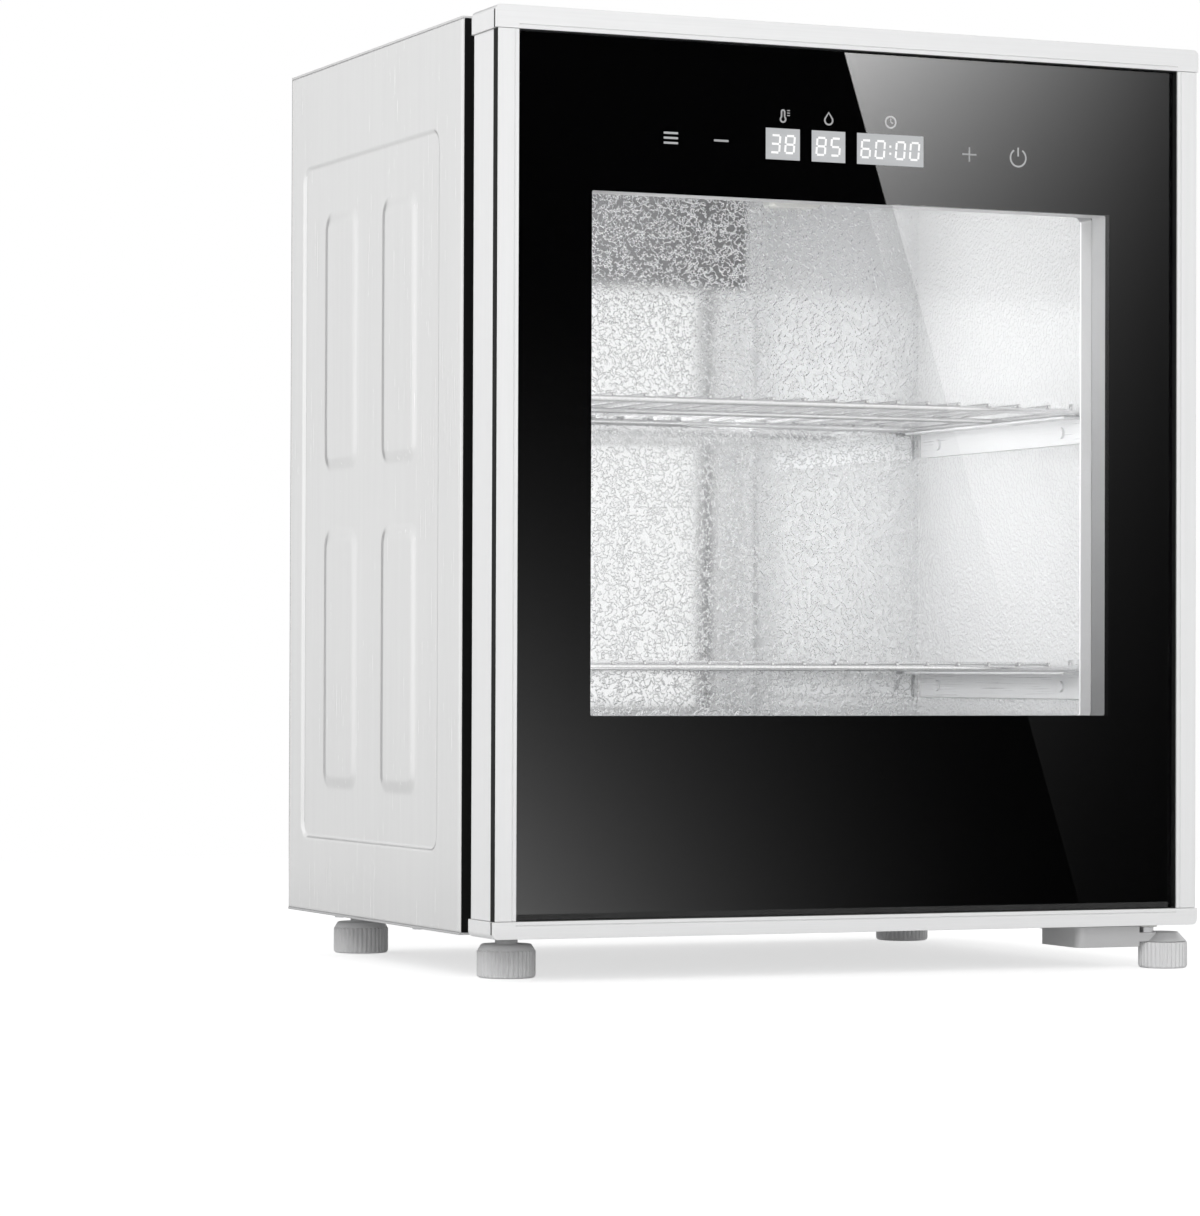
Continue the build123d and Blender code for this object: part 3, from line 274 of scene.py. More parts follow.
def bright_wire(name, colour):
    """Polished plated wire with faint drawing marks."""
    return mottled(name, colour, (900.0, 2.0), (0.4, 0.7), (0.92, 1.0), (0.1, 0.17), 0.9)


def seal_rubber(name, colour):
    """Extruded rubber with a dull bloom."""
    return mottled(name, colour, (60.0, 4.0), (0.45, 0.8), (1.0, 1.08), (0.2, 0.42),
                   peel=(1500.0, 3.0, 0.03 * MM, 0.4))


def heated_sheath(name, colour):
    """Nickel-alloy sheath, darkened and tinted by heat."""
    return mottled(name, colour, (24.0, 3.0), (0.35, 0.7), (0.7, 1.2), (0.25, 0.3), 0.85)


def clear_glass(name, index, limits_x, limits_z):
    """Clear pane: seen through, with a mirror image on its outer faces that grows toward grazing angles.

    The limits are the clear window: round it the pane lies on its print, which carries the mirror image.
    """
    finish = Finish(name)
    x, z = finish.along("X"), finish.along("Z")
    window = x.over(limits_x[0]) * z.over(limits_z[0])
    window = window * (1.0 - x.over(limits_x[1])) * (1.0 - z.over(limits_z[1]))
    gloss = finish.node("ShaderNodeFresnel", {}, {"IOR": index})
    front = 1.0 - finish.node("ShaderNodeNewGeometry", output="Backfacing")
    return finish.surface(Base_Color=WHITE, Metallic=1.0, Roughness=0.0, Alpha=gloss * front * window)


def black_ink(name, colour):
    """Black ceramic ink fired on the pane, with the pane's own polish over it."""
    finish = Finish(name)
    pinholes = finish.noise(3200.0, detail=1.0)
    tone = finish.blend(pinholes.step(0.62, 0.8) * 0.5, shade(colour), shade(colour, 2.0))
    return finish.surface(Base_Color=tone, Roughness=0.0, IOR=1.5)


def backlit(name, colour, strength, cells=320.0, stretch=(1.0, 1.0, 1.0), dark=0.9):
    """Back-lit figure, sign or display filter with slightly uneven brightness."""
    finish = Finish(name)
    uneven = finish.noise(cells, stretch, 2.0)
    glow = finish.blend(uneven.step(0.3, 0.7), shade(colour, dark), shade(colour))
    return finish.surface(Base_Color=shade(colour, 0.1), Roughness=0.5, Specular_IOR_Level=0.0,
                          Emission_Color=glow, Emission_Strength=strength)


def fibre_wool(name, colour):
    """Loose mineral wool."""
    finish = Finish(name)
    fibres = finish.noise(420.0, (1.0, 0.25, 1.0), 5.0, 0.7)
    tone = finish.blend(fibres.step(0.35, 0.65), shade(colour, 0.75), shade(colour))
    normal = finish.relief(fibres, 1.0 * MM)
    return finish.surface(Base_Color=tone, Roughness=fibres * 0.1 + 0.85, Normal=normal)


def circuit_laminate(name, colour):
    """Green laminate with copper runs under the mask."""
    finish = Finish(name)
    runs = finish.node("ShaderNodeTexBrick", {"offset": 0.5}, {
        "Vector": finish.place(turn=(math.pi / 2, 0.0, 0.0)), "Scale": 90.0, "Mortar Size": 0.012,
        "Color1": shade(colour, 1.0), "Color2": shade(colour, 0.85), "Mortar": shade(colour, 1.6)})
    clouds = finish.noise(60.0)
    normal = finish.soft_edges(0.3 * MM)
    return finish.surface(Base_Color=runs, Roughness=clouds * 0.15 + 0.3, Normal=normal)


# --- surfaces worked out with numpy ------------------------------------------------------------------
def band_quads(rows, columns, close_rows=False, close_columns=False):
    """Quads of a grid of points, row by row; a closed direction joins its last line to its first."""
    row = np.arange(rows if close_rows else rows - 1)[:, None]
    column = np.arange(columns if close_columns else columns - 1)[None, :]
    here = row * columns + column
    right = row * columns + (column + 1) % columns
    below = (row + 1) % rows * columns + column
    opposite = (row + 1) % rows * columns + (column + 1) % columns
    return np.stack([here, right, opposite, below], axis=-1).reshape(-1, 4)


def fan_triangles(ring, centre, reverse):
    """Triangles from a ring of points to one centre point."""
    following = np.roll(ring, -1)
    centres = np.full_like(ring, centre)
    order = (following, ring, centres) if reverse else (ring, following, centres)
    return np.stack(order, axis=-1)


class Piece:
    """Points and faces of one piece, gathered from several surfaces."""

    def __init__(self):
        self.points = []
        self.faces = []
        self.count = 0

    def add(self, points, faces):
        """Add a surface with its own numbering."""
        self.points.append(np.asarray(points, float).reshape(-1, 3))
        self.faces += [(np.asarray(block) + self.count).tolist() for block in faces]
        self.count += len(self.points[-1])

    def build(self, name, body, material, smooth=True, slot=None, replaces=()):
        """Make the mesh object, give it its finish and let it ride on its body."""
        mesh = bpy.data.meshes.new(name)
        faces = [face for block in self.faces for face in block]
        mesh.from_pydata(np.concatenate(self.points).tolist(), [], faces)
        mesh.polygons.foreach_set("use_smooth", np.full(len(mesh.polygons), smooth))
        mesh.materials.append(material)
        mesh.update()
        made = bpy.data.objects.new(name, mesh)
        bpy.context.scene.collection.objects.link(made)
        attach(made, body)
        if replaces:
            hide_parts(*replaces)
        return made


def smooth_step(value):
    """0 below 0, 1 above 1 and 3 t^2 - 2 t^3 between."""
    t = np.clip(value, 0.0, 1.0)
    return t * t * (3.0 - 2.0 * t)


def rounded_distance(y, z, limits_y, limits_z, corner):
    """Signed distance into a rounded rectangle: positive inside, zero on its outline."""
    middle_y, half_y = sum(limits_y) / 2, (limits_y[1] - limits_y[0]) / 2 - corner
    middle_z, half_z = sum(limits_z) / 2, (limits_z[1] - limits_z[0]) / 2 - corner
    out_y = np.abs(y - middle_y) - half_y
    out_z = np.abs(z - middle_z) - half_z
    outside = np.hypot(np.maximum(out_y, 0.0), np.maximum(out_z, 0.0))
    return corner - outside - np.minimum(np.maximum(out_y, out_z), 0.0)


def graded(start, end, coarse, groups):
    """Positions from start to end: coarse steps, with fine ones within reach of the marks of each group."""
    lines = [np.linspace(start, end, int((end - start) / coarse))]
    for marks, fine, reach in groups:
        lines += [np.arange(mark - reach, mark + reach, fine) for mark in marks]
    every = np.unique(np.clip(np.concatenate(lines), start, end))
    keep = np.concatenate([[True], np.diff(every) > 0.18 * MM])
    every = every[keep]
    every[-1] = end
    return every


def directions(path, closed):
    """Unit vectors along a path: from the point before to the point after, or to an end's only neighbour."""
    before = np.roll(path, 1, axis=0) if closed else np.vstack([path[:1], path[:-1]])
    after = np.roll(path, -1, axis=0) if closed else np.vstack([path[1:], path[-1:]])
    return (after - before) / np.linalg.norm(after - before, axis=1, keepdims=True)


def carried_tube(piece, path, radius, side, sides=12, closed=False):
    """A circle carried along a path: point + radius (cos a * across + sin a * side)."""
    path = np.asarray(path, float)
    tangent = directions(path, closed)
    across = np.cross(tangent, np.asarray(side, float))
    across /= np.linalg.norm(across, axis=1, keepdims=True)
    other = np.cross(across, tangent)
    angle = np.linspace(0.0, 2 * np.pi, sides, endpoint=False)[None, :, None]
    ring = path[:, None] + radius * (np.cos(angle) * across[:, None] + np.sin(angle) * other[:, None])
    faces = [band_quads(len(path), sides, closed, True)]
    points = ring.reshape(-1, 3)
    if not closed:
        points = np.vstack([points, path[:1], path[-1:]])
        faces.append(fan_triangles(np.arange(sides), len(points) - 2, False))
        faces.append(fan_triangles(np.arange(sides) + (len(path) - 1) * sides, len(points) - 1, True))
    piece.add(points, faces)


def rounded_outline(half_x, half_y, corner, steps=8):
    """Points round a rounded rectangle, counter-clockwise: corner centre + corner (cos a, sin a)."""
    quarter = np.linspace(0.0, np.pi / 2, steps)
    angle = (np.arange(4)[:, None] * np.pi / 2 + quarter[None]).reshape(-1)
    sign_x = np.repeat([1, -1, -1, 1], steps)
    sign_y = np.repeat([1, 1, -1, -1], steps)
    x = sign_x * (half_x - corner) + corner * np.cos(angle)
    y = sign_y * (half_y - corner) + corner * np.sin(angle)
    return x, y


def carried_profile(piece, limits_x, limits_z, corner, profile):
    """A closed profile carried round an upright rounded rectangle.

    Each profile point is (inward, y): the rectangle shrinks by inward and lies at depth y.
    """
    centre_x, half_x = sum(limits_x) / 2, (limits_x[1] - limits_x[0]) / 2
    centre_z, half_z = sum(limits_z) / 2, (limits_z[1] - limits_z[0]) / 2
    rows = []
    for inward, depth in profile:
        x, z = rounded_outline(half_x - inward, half_z - inward, max(corner - inward, 0.5 * MM))
        rows.append(np.stack([x + centre_x, np.full_like(x, depth), z + centre_z], axis=-1))
    piece.add(np.stack(rows), [band_quads(len(profile), len(rows[0]), True, True)])


def turned(piece, centre, profile, sides, ribs, rib_depth, rib_range):
    """A profile of (radius, height) turned about an upright axis, with upright ribs.

    The radius inside the ribbed heights is radius - rib_depth (0.5 - 0.5 cos(ribs a)) ** 2.
    """
    profile = np.asarray(profile, float)
    angle = np.linspace(0.0, 2 * np.pi, sides, endpoint=False)
    heights = profile[:, 1]
    inside = smooth_step((heights - rib_range[0]) / MM) * smooth_step((rib_range[1] - heights) / MM)
    groove = rib_depth * inside[:, None] * (0.5 - 0.5 * np.cos(ribs * angle))[None] ** 2
    radius = np.repeat(profile[:, :1], sides, axis=1) - groove
    x = centre[0] + radius * np.cos(angle)
    y = centre[1] + radius * np.sin(angle)
    z = np.repeat(profile[:, 1:2], sides, axis=1)
    points = np.stack([x, y, z], axis=-1).reshape(-1, 3)
    ends = [[centre[0], centre[1], profile[0, 1]], [centre[0], centre[1], profile[-1, 1]]]
    last = len(points) - sides
    faces = [band_quads(len(profile), sides, False, True)]
    faces.append(fan_triangles(np.arange(sides), len(points), True))
    faces.append(fan_triangles(np.arange(sides) + last, len(points) + 1, False))
    piece.add(np.vstack([points, ends]), faces)


def soft_block(piece, low, high, radius, steps=4, spans=1):
    """A block with rounded edges: each point of a gridded cube goes to the nearest point of the block
    shrunk by the radius, plus the radius along the direction between them. Lines close inside the rounding
    hold the faces flat."""
    low, high = np.asarray(low, float), np.asarray(high, float)
    inner_low, inner_high = low + radius, high - radius
    edge = 1.0 - np.cos(np.linspace(0.0, np.pi / 2, steps + 1))
    hold = np.minimum(radius, 0.2 * (inner_high - inner_low))
    line = [np.concatenate([low[a] + radius * edge[:-1], [inner_low[a]],
                            np.linspace(inner_low[a] + hold[a], inner_high[a] - hold[a], spans + 1),
                            [inner_high[a]], high[a] - radius * edge[:-1][::-1]]) for a in range(3)]
    for axis in range(3):
        first, second = [a for a in range(3) if a != axis]
        for end, outward in ((low[axis], axis == 1), (high[axis], axis != 1)):
            grid = np.zeros((len(line[first]), len(line[second]), 3))
            grid[..., first] = line[first][:, None]
            grid[..., second] = line[second][None, :]
            grid[..., axis] = end
            core = np.clip(grid, inner_low, inner_high)
            away = grid - core
            length = np.linalg.norm(away, axis=-1, keepdims=True)
            grid = core + away / np.maximum(length, 1e-9) * radius
            quads = band_quads(grid.shape[0], grid.shape[1])
            piece.add(grid, [quads[:, ::-1] if outward else quads])


def ribbon(piece, path, width, plane_y, thickness, closed=False):
    """A flat stroke of even width along a path in an upright plane, given a thickness along Y."""
    tangent = directions(path, closed)
    normal = np.stack([-tangent[:, 1], tangent[:, 0]], axis=-1) * width / 2
    left, right = path + normal, path - normal
    corners = [(right, plane_y), (left, plane_y), (left, plane_y + thickness), (right, plane_y + thickness)]
    rows = [np.stack([side[:, 0], np.full(len(path), depth), side[:, 1]], axis=-1) for side, depth in corners]
    points = np.stack(rows, axis=1)
    faces = [band_quads(len(path), 4, closed, True)[:, ::-1]]
    if not closed:
        last = 4 * (len(path) - 1)
        faces.append(np.array([[0, 1, 2, 3], [last + 3, last + 2, last + 1, last]])[:, ::-1])
    piece.add(points, faces)


def dress(material, *nodes):
    """Give carried-over nodes a finish."""
    for node in nodes:
        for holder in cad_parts[node].material_slots:
            holder.material = material


def span(node, axis):
    """Limits of a node along one axis."""
    low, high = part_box(node)
    return low[axis], high[axis]


def plan(node):
    """A node's middle and half sizes, seen from above."""
    (x0, x1), (y0, y1) = span(node, 0), span(node, 1)
    return ((x0 + x1) / 2, (y0 + y1) / 2), ((x1 - x0) / 2, (y1 - y0) / 2)


# --- settings ----------------------------------------------------------------------------------------
def length(name, description, millimetres, least=0.0):
    """A length property that is given in millimetres."""
    return FloatProperty(name=name, description=description, default=millimetres * MM, min=least * MM,
                         unit="LENGTH", precision=5)


def colour(name, description, red, green, blue):
    """A colour property."""
    return FloatVectorProperty(name=name, description=description, subtype="COLOR", size=3, min=0.0, max=1.0,
                               default=(red, green, blue))


def number(name, description, default):
    """A plain number."""
    return FloatProperty(name=name, description=description, default=default)


def angle(name, description, degrees):
    """An angle property that is given in degrees."""
    return FloatProperty(name=name, description=description, subtype="ANGLE", default=math.radians(degrees))


class ShellSettings(bpy.types.PropertyGroup):
    """Sheet-metal body."""

    steel: colour("Steel", "Brushed stainless sheet", 0.78, 0.78, 0.78)
    plated: colour("Plated sheet", "Base, rear panel and brackets", 0.55, 0.55, 0.555)
    press_depth: length("Field depth", "How far the pressed field is sunk", 1.3)
    press_rise: length("Slot rise", "How far the slots stand out of the field", 1.3)
    field_blend: length("Field blend", "Width of the drawn edge round the field", 1.6, 0.5)
    slot_blend: length("Slot blend", "Width of the gentle slope round a slot", 9.0, 0.5)
    hem_width: length("Hem width", "Width over which the front edge curls in", 4.5, 0.5)
    hem_depth: length("Hem depth", "How far the front edge curls in", 0.7)
    field_front: length("Field to front edge", "Distance from the panel's front edge", 33.3)
    field_rear: length("Field to rear edge", "Distance from the panel's rear edge", 21.3)
    field_bottom: length("Field to base", "Distance from the underside", 42.0)
    field_top: length("Field to top", "Distance from the top face", 55.0)
    field_corner: length("Field corner", "Corner radius of the field", 10.0)
    slot_width: length("Slot width", "Width of a raised slot", 57.0)
    slot_height: length("Slot height", "Height of a raised slot", 148.0)
    slot_corner: length("Slot corner", "Corner radius of a slot", 12.0)
    slot_side: length("Slot to field side", "Distance from the field's side", 33.0)
    slot_end: length("Slot to field end", "Distance from the field's top or bottom", 28.0)
    sheet: length("Sheet", "Thickness of a side panel", 1.2)
    edge_round: length("Edge rounding", "Radius of the sheet's edges", 0.15, 0.1)


class DoorSettings(bpy.types.PropertyGroup):
    """Door frame, glazing and seal."""

    aluminium: colour("Aluminium", "Brushed frame profiles", 0.90, 0.902, 0.905)
    ink: colour("Ink", "Black print behind the front pane", 0.0012, 0.0012, 0.0013)
    spacer: colour("Spacer", "Frame between the panes", 0.38, 0.382, 0.385)
    spacer_width: length("Spacer width", "From the clear window to the spacer's outer side", 15.0)
    front_index: number("Front index", "Refractive index of the front pane", 1.5)
    rear_index: number("Rear index", "Index of the coated rear pane", 1.25)
    print_gap: length("Print gap", "Between the front pane and its print", 0.12)
    rubber: colour("Tape", "Black glazing tape", 0.006, 0.006, 0.006)
    seal: colour("Seal", "Magnetic door seal", 0.78, 0.78, 0.785)
    black: colour("Black plastic", "Front frame and strips", 0.008, 0.008, 0.008)
    moulding: colour("Grey plastic", "Rear face of the moulded frame at the door's back", 0.84, 0.84, 0.845)
    # Jamb and housing are painted shade: darker copies of the frame's grey where the frame lies in shade,
    # round the window and over it.
    jamb_painted_shade: colour("Jamb", "Sides of that frame round the window", 0.42, 0.42, 0.425)
    housing_painted_shade: colour("Housing", "That frame over the window, before the controls", 0.20, 0.20, 0.203)
    strip_width: length("Strip width", "Black strip along a stile's front corner", 5.9)
    strip_proud: length("Strip height", "That strip above the stile's face", 0.12)
    tape: length("Tape", "Black glazing tape between the pane's edge and its frame", 0.44)
    seal_bead: length("Seal bead", "Radius of the seal's rounded bead", 1.6, 0.4)


class ControlSettings(bpy.types.PropertyGroup):
    """Displays and touch keys."""

    figures: colour("Figures", "Lit segments", 1.0, 1.0, 1.0)
    panel: colour("Display panel", "Unlit area of a display", 0.50, 0.51, 0.52)
    signs: colour("Signs", "Printed signs of the keys", 0.80, 0.81, 0.82)
    faint: colour("Faint signs", "Printed signs over the displays", 0.42, 0.42, 0.425)
    display_seat: length("Display seat", "Display past its window in the print", 0.6)
    menu_gap: length("Menu", "From the menu key's middle to the displays", 54.85)
    less_gap: length("Less", "From the less key's middle to the displays", 25.85)
    more_gap: length("More", "From the displays to the more key's middle", 27.45)
    power_gap: length("Power", "From the displays to the power key's middle", 57.25)
    sign_rise: length("Sign rise", "From the displays' middle to the signs over them", 14.9)
    digit_height: length("Digit height", "Height of a seven-segment digit", 10.2)
    digit_width: length("Digit width", "Width of a seven-segment digit", 6.2)
    digit_stroke: length("Digit stroke", "Width of a segment", 1.15)
    stroke: length("Sign stroke", "Width of a printed line", 0.9)


class CavitySettings(bpy.types.PropertyGroup):
    """Liner, shelves, fan, heater and tray."""

    liner: colour("Liner", "Embossed aluminium", 0.90, 0.905, 0.91)
    wire: colour("Wire", "Plated shelf wire", 0.95, 0.95, 0.955)
    tray: colour("Tray", "Drawn stainless tray", 0.66, 0.665, 0.67)
    sheath: colour("Heater sheath", "Heating element", 0.20, 0.18, 0.16)
    trim_sheet: length("Trim sheet", "Thickness of the angle round the mouth", 0.25)
    trim_lip: length("Trim lip", "Width of that angle's front", 5.5)
    lamp_power: number("Lamp power", "Power of the cavity lamp", 0.06)
    fill_power: number("Fill power", "Power of the light on the right wall", 0.82)
    glow_power: number("Glow power", "Power of the light on the door's back", 0.57)
    frame_wire: length("Frame wire", "Radius of the shelf's frame wire", 1.75)
    cross_wire: length("Cross wire", "Radius of the wires across", 1.15)
    wire_pitch: length("Wire pitch", "Distance between the wires across", 18.9)
    shelf_corner: length("Shelf corner", "Corner radius of the shelf's frame", 8.0)


class FootSettings(bpy.types.PropertyGroup):
    """Levelling feet."""

    plastic: colour("Plastic", "Moulded grey plastic", 0.80, 0.80, 0.805)
    ribs: IntProperty(name="Ribs", description="Upright ribs round a foot", default=36, min=12)
    rib_depth: length("Rib depth", "Depth of the grooves between ribs", 1.05)
    lower_round: length("Lower rounding", "Radius of the foot's lower edge", 1.8)


class StageSettings(bpy.types.PropertyGroup):
    """Camera, floor, lights and reflecting card."""

    azimuth: angle("Azimuth", "Camera's turn about the object", 23.25)
    pitch: angle("Pitch", "Camera's tilt upward", 0.81)
    roll: angle("Roll", "Camera's turn about its axis", -0.2)
    camera_x: length("Camera X", "Camera to the left of the centre", -1052.5, -9000.0)
    camera_y: length("Camera Y", "Camera in front of the centre", -2261.5, -9000.0)
    camera_z: length("Camera Z", "Camera above the floor", 162.0)
    lens: number("Lens", "Focal length in millimetres", 131.1)
    floor: colour("Floor", "Pale floor", 0.80, 0.80, 0.80)
    lit_floor: length("Lit floor", "Distance over which the floor shows its shadows", 700.0)
    floor_lift: number("Floor lift", "Light that the floor near the object sends to the camera", 0.60)
    ambient: number("Ambient", "Even light from all round", 0.42)
    mirrored: number("Mirrored", "White of the surroundings in mirror images", 1.1)
    key_power: number("Key power", "Soft light from the left front", 32.0)
    front_power: number("Front power", "Low soft light from the left front", 13.0)
    rear_power: number("Rear power", "Each soft light from behind", 22.0)
    light_size: length("Light size", "Side of a soft light", 1300.0)
    side_glow: number("Side glow", "Bright card at the left, in mirror images", 1.5)
    flag_y: length("Flag Y", "Dark card behind the object", 1500.0)
    flag_left: length("Flag left", "Left edge of the dark card", -480.0, -3000.0)
    card_y: length("Card Y", "Reflecting card in front of the centre", -750.0, -3000.0)
    card_margin: length("Card margin", "Card past the mirror image of the pane", 160.0)
    wedge_left: length("Wedge at left", "Wedge's edge at the pane's top", -5.9, -400.0)
    wedge_right: length("Wedge at right", "Wedge's edge at the window's foot", 106.5, -400.0)
    wedge_drop: length("Wedge drop", "Height between those two points", 355.7)


class ProoferSettings(bpy.types.PropertyGroup):
    """All settings of the dough proofer."""

    shell: PointerProperty(type=ShellSettings)
    door: PointerProperty(type=DoorSettings)
    controls: PointerProperty(type=ControlSettings)
    cavity: PointerProperty(type=CavitySettings)
    feet: PointerProperty(type=FootSettings)
    stage: PointerProperty(type=StageSettings)


def settings():
    """The scene's settings."""
    return bpy.context.scene.proofer


# --- shell -------------------------------------------------------------------------------------------
def slot_limits(shell, field_y, field_z):
    """Limits of the four slots: two columns of two."""
    pairs = [((field[0] + inset, field[0] + inset + size), (field[1] - inset - size, field[1] - inset))
             for field, inset, size in ((field_y, shell.slot_side, shell.slot_width),
                                        (field_z, shell.slot_end, shell.slot_height))]
    return [(y, z) for y in pairs[0] for z in pairs[1]]


def curl(distance, radius):
    """Drop of a quarter circle toward an edge, as a share of its radius: 1 - sqrt(1 - (1 - d / r)^2)."""
    lack = np.clip(1.0 - distance / radius, 0.0, 1.0)
    return 1.0 - np.sqrt(1.0 - lack * lack)


def pressed_panel(node, side, shell, material):
    """Pressed side panel as a height over (y, z).

    Depth = field depth * S(d / blend) - slot rise * S(d of each slot / blend) + edge rounding + hem, where
    d is the distance inside the rounded outline, S the smooth step and the hem a quarter ellipse.
    """
    sheet_y, sheet_z = span(node, 1), span(node, 2)
    base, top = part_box("base_pan")[0].z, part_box("top_panel")[1].z
    field_y = (sheet_y[0] + shell.field_front, sheet_y[1] - shell.field_rear)
    field_z = (base + shell.field_bottom, top - shell.field_top)
    slots = slot_limits(shell, field_y, field_z)
    coarse, at_marks, at_edge, at_hem = 8 * MM, 0.9 * MM, 0.1 * MM, 0.7 * MM
    y, z = [graded(*sheet, coarse, ((marks, at_marks, shell.field_corner),
                                    (sheet, at_edge, 2 * shell.edge_round), (sheet, at_hem, shell.hem_width)))
            for sheet, marks in ((sheet_y, [*field_y, *slots[0][0], *slots[2][0]]),
                                 (sheet_z, [*field_z, *slots[0][1], *slots[1][1]]))]
    grid_y, grid_z = np.meshgrid(y, z, indexing="ij")
    inside = rounded_distance(grid_y, grid_z, field_y, field_z, shell.field_corner)
    depth = shell.press_depth * smooth_step(inside / shell.field_blend)
    for slot_y, slot_z in slots:
        inside = rounded_distance(grid_y, grid_z, slot_y, slot_z, shell.slot_corner)
        depth -= shell.press_rise * smooth_step(inside / shell.slot_blend)
    rim = rounded_distance(grid_y, grid_z, sheet_y, sheet_z, shell.edge_round)
    depth = depth + shell.edge_round * curl(rim, shell.edge_round)
    depth = depth + shell.hem_depth * curl(grid_y - sheet_y[0], shell.hem_width)
    x = span(node, 0)[0 if side < 0 else 1] - side * depth
    piece = Piece()
    quads = band_quads(len(y), len(z))
    piece.add(np.stack([x, grid_y, grid_z], axis=-1), [quads[:, ::-1] if side > 0 else quads])
    made = piece.build(f"{node}_sheet", "cabinet", material, slot="brushed_stainless", replaces=[node])
    wall = made.modifiers.new("sheet", "SOLIDIFY")
    wall.thickness = shell.sheet
    wall.offset = -1.0


class PROOFER_OT_shell(bpy.types.Operator):
    """Build the pressed side panels and the top sheet and finish the other sheets of the body"""

    bl_idname = "proofer.shell"
    bl_label = "Shell"

    def execute(self, context):
        shell = settings().shell
        steel = brushed_metal("brushed_stainless", shell.steel, "z", 0.45, 0.24)
        pressed_panel("left_side_panel", -1, shell, steel)
        pressed_panel("right_side_panel", 1, shell, steel)
        low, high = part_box("top_panel")
        piece = Piece()
        soft_block(piece, low, high, shell.edge_round, spans=12)
        # Painted shade: the top sheet takes the side steel at 0.92 of its colour, so that its lit top, seen
        # at grazing angles, does not clip to white.
        painted_shade_lid_steel = brushed_metal("brushed_top_painted_shade", shade(shell.steel, 0.92)[:3], "x", 0.35, 0.42, 0.1 * MM)
        piece.build("top_sheet", "cabinet", painted_shade_lid_steel, slot="brushed_stainless", replaces=["top_panel"])
        plated = cast_metal("plated_sheet", shell.plated)
        dress(plated, "base_pan", "rear_panel", "service_plate", "fan_motor")
        dress(moulded_plastic("inlet_plastic", settings().door.black, 0.4), "mains_inlet")
        dress(circuit_laminate("circuit_laminate", (0.02, 0.10, 0.05)), "power_board", "control_board")
        wool = fibre_wool("mineral_wool", (0.62, 0.55, 0.38))
        dress(wool, *[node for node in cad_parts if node.startswith("insulation")])
        return {"FINISHED"}


# --- door --------------------------------------------------------------------------------------------
def trim_strips(door, material):
    """Flat black strips that cover the stiles' front corners, and short ones in the grooves of the caps."""
    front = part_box("door_stile_left")[0].y
    bevel = 0.1 * MM
    gap, end_gap = 0.2 * MM, 2.4 * MM
    groove = (1.25 * MM, 3.35 * MM)

    def strip(name, side, face, reach, depth, rise, **marks):
        """A block from the face inward by its reach, over its depth behind the front and its rise."""
        across = sorted(face - side * inward * MM for inward in reach)
        piece = Piece()
        low, high = [(across[i], front + depth[i], rise[i]) for i in (0, 1)]
        soft_block(piece, low, high, bevel)
        piece.build(name, "door", material, slot="black_plastic", **marks)

    for side, end, hand in ((-1, 0, "left"), (1, 1, "right")):
        node = f"stile_strip_{hand}"
        strip(f"{node}_cover", side, span(f"door_stile_{hand}", 0)[end], (-door.strip_proud / MM, 1.5),
              (0.1 * MM, door.strip_width), span(node, 2), replaces=[node])
        for cap, below, above in (("top", gap, end_gap), ("bottom", end_gap, gap)):
            bottom, top = span(f"door_{cap}_cap", 2)
            strip(f"cap_strip_{cap}_{hand}", side, span(f"door_{cap}_cap", 0)[end], (0.25, 1.0),
                  groove, (bottom + below, top - above))


class PROOFER_OT_door_frame(bpy.types.Operator):
    """Finish the stiles, the caps, the strips and the moulded inner frame"""

    bl_idname = "proofer.door_frame"
    bl_label = "Door frame"

    def execute(self, context):
        door = settings().door
        upright = brushed_metal("brushed_stile", door.aluminium, "z", 0.3, 0.4)
        level = brushed_metal("brushed_cap", door.aluminium, "x", 0.3, 0.4)
        dress(upright, "door_stile_left", "door_stile_right")
        dress(level, "door_top_cap", "door_bottom_cap")
        black = moulded_plastic("black_plastic", door.black, 0.45, 0.04)
        dress(black, "front_frame")
        trim_strips(door, black)
        dress(frame_plastic("grey_plastic", door), "door_inner_frame")
        return {"FINISHED"}


class PROOFER_OT_glazing(bpy.types.Operator):
    """Build the front pane and finish the rear pane, the black print and the spacer"""

    bl_idname = "proofer.glazing"
    bl_label = "Glazing"

    def execute(self, context):
        door = settings().door
        low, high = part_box("outer_glass")
        pane = Piece()
        soft_block(pane, low, (high.x, high.y - door.print_gap, high.z), 0.5 * MM)
        window_x, window_z = [(start + door.spacer_width, end - door.spacer_width)
                              for start, end in (span("spacer_frame", 0), span("spacer_frame", 2))]
        glass = clear_glass("front_pane", door.front_index, window_x, window_z)
        pane.build("front_pane", "door", glass, slot="front_glass", replaces=["outer_glass"])
        tape = Piece()
        outer_x, outer_z = (low.x - door.tape, high.x + door.tape), (low.z - door.tape, high.z + door.tape)
        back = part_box("black_mask")[1].y
        play, set_back = 0.02 * MM, 0.35 * MM
        thick, front = door.tape - play, low.y + set_back
        profile = [(0.0, front), (0.0, back), (thick, back), (thick, front)]
        carried_profile(tape, outer_x, outer_z, 0.5 * MM, profile)
        rubber = seal_rubber("glazing_tape", door.rubber)
        tape.build("glazing_tape", "door", rubber, smooth=False, slot="black_plastic")
        dress(clear_glass("rear_pane", door.rear_index, span("inner_glass", 0), span("inner_glass", 2)),
              "inner_glass")
        dress(black_ink("black_print", door.ink), "black_mask")
        dress(spacer_metal_painted_light("spacer_metal_painted_light", door), "spacer_frame")
        return {"FINISHED"}


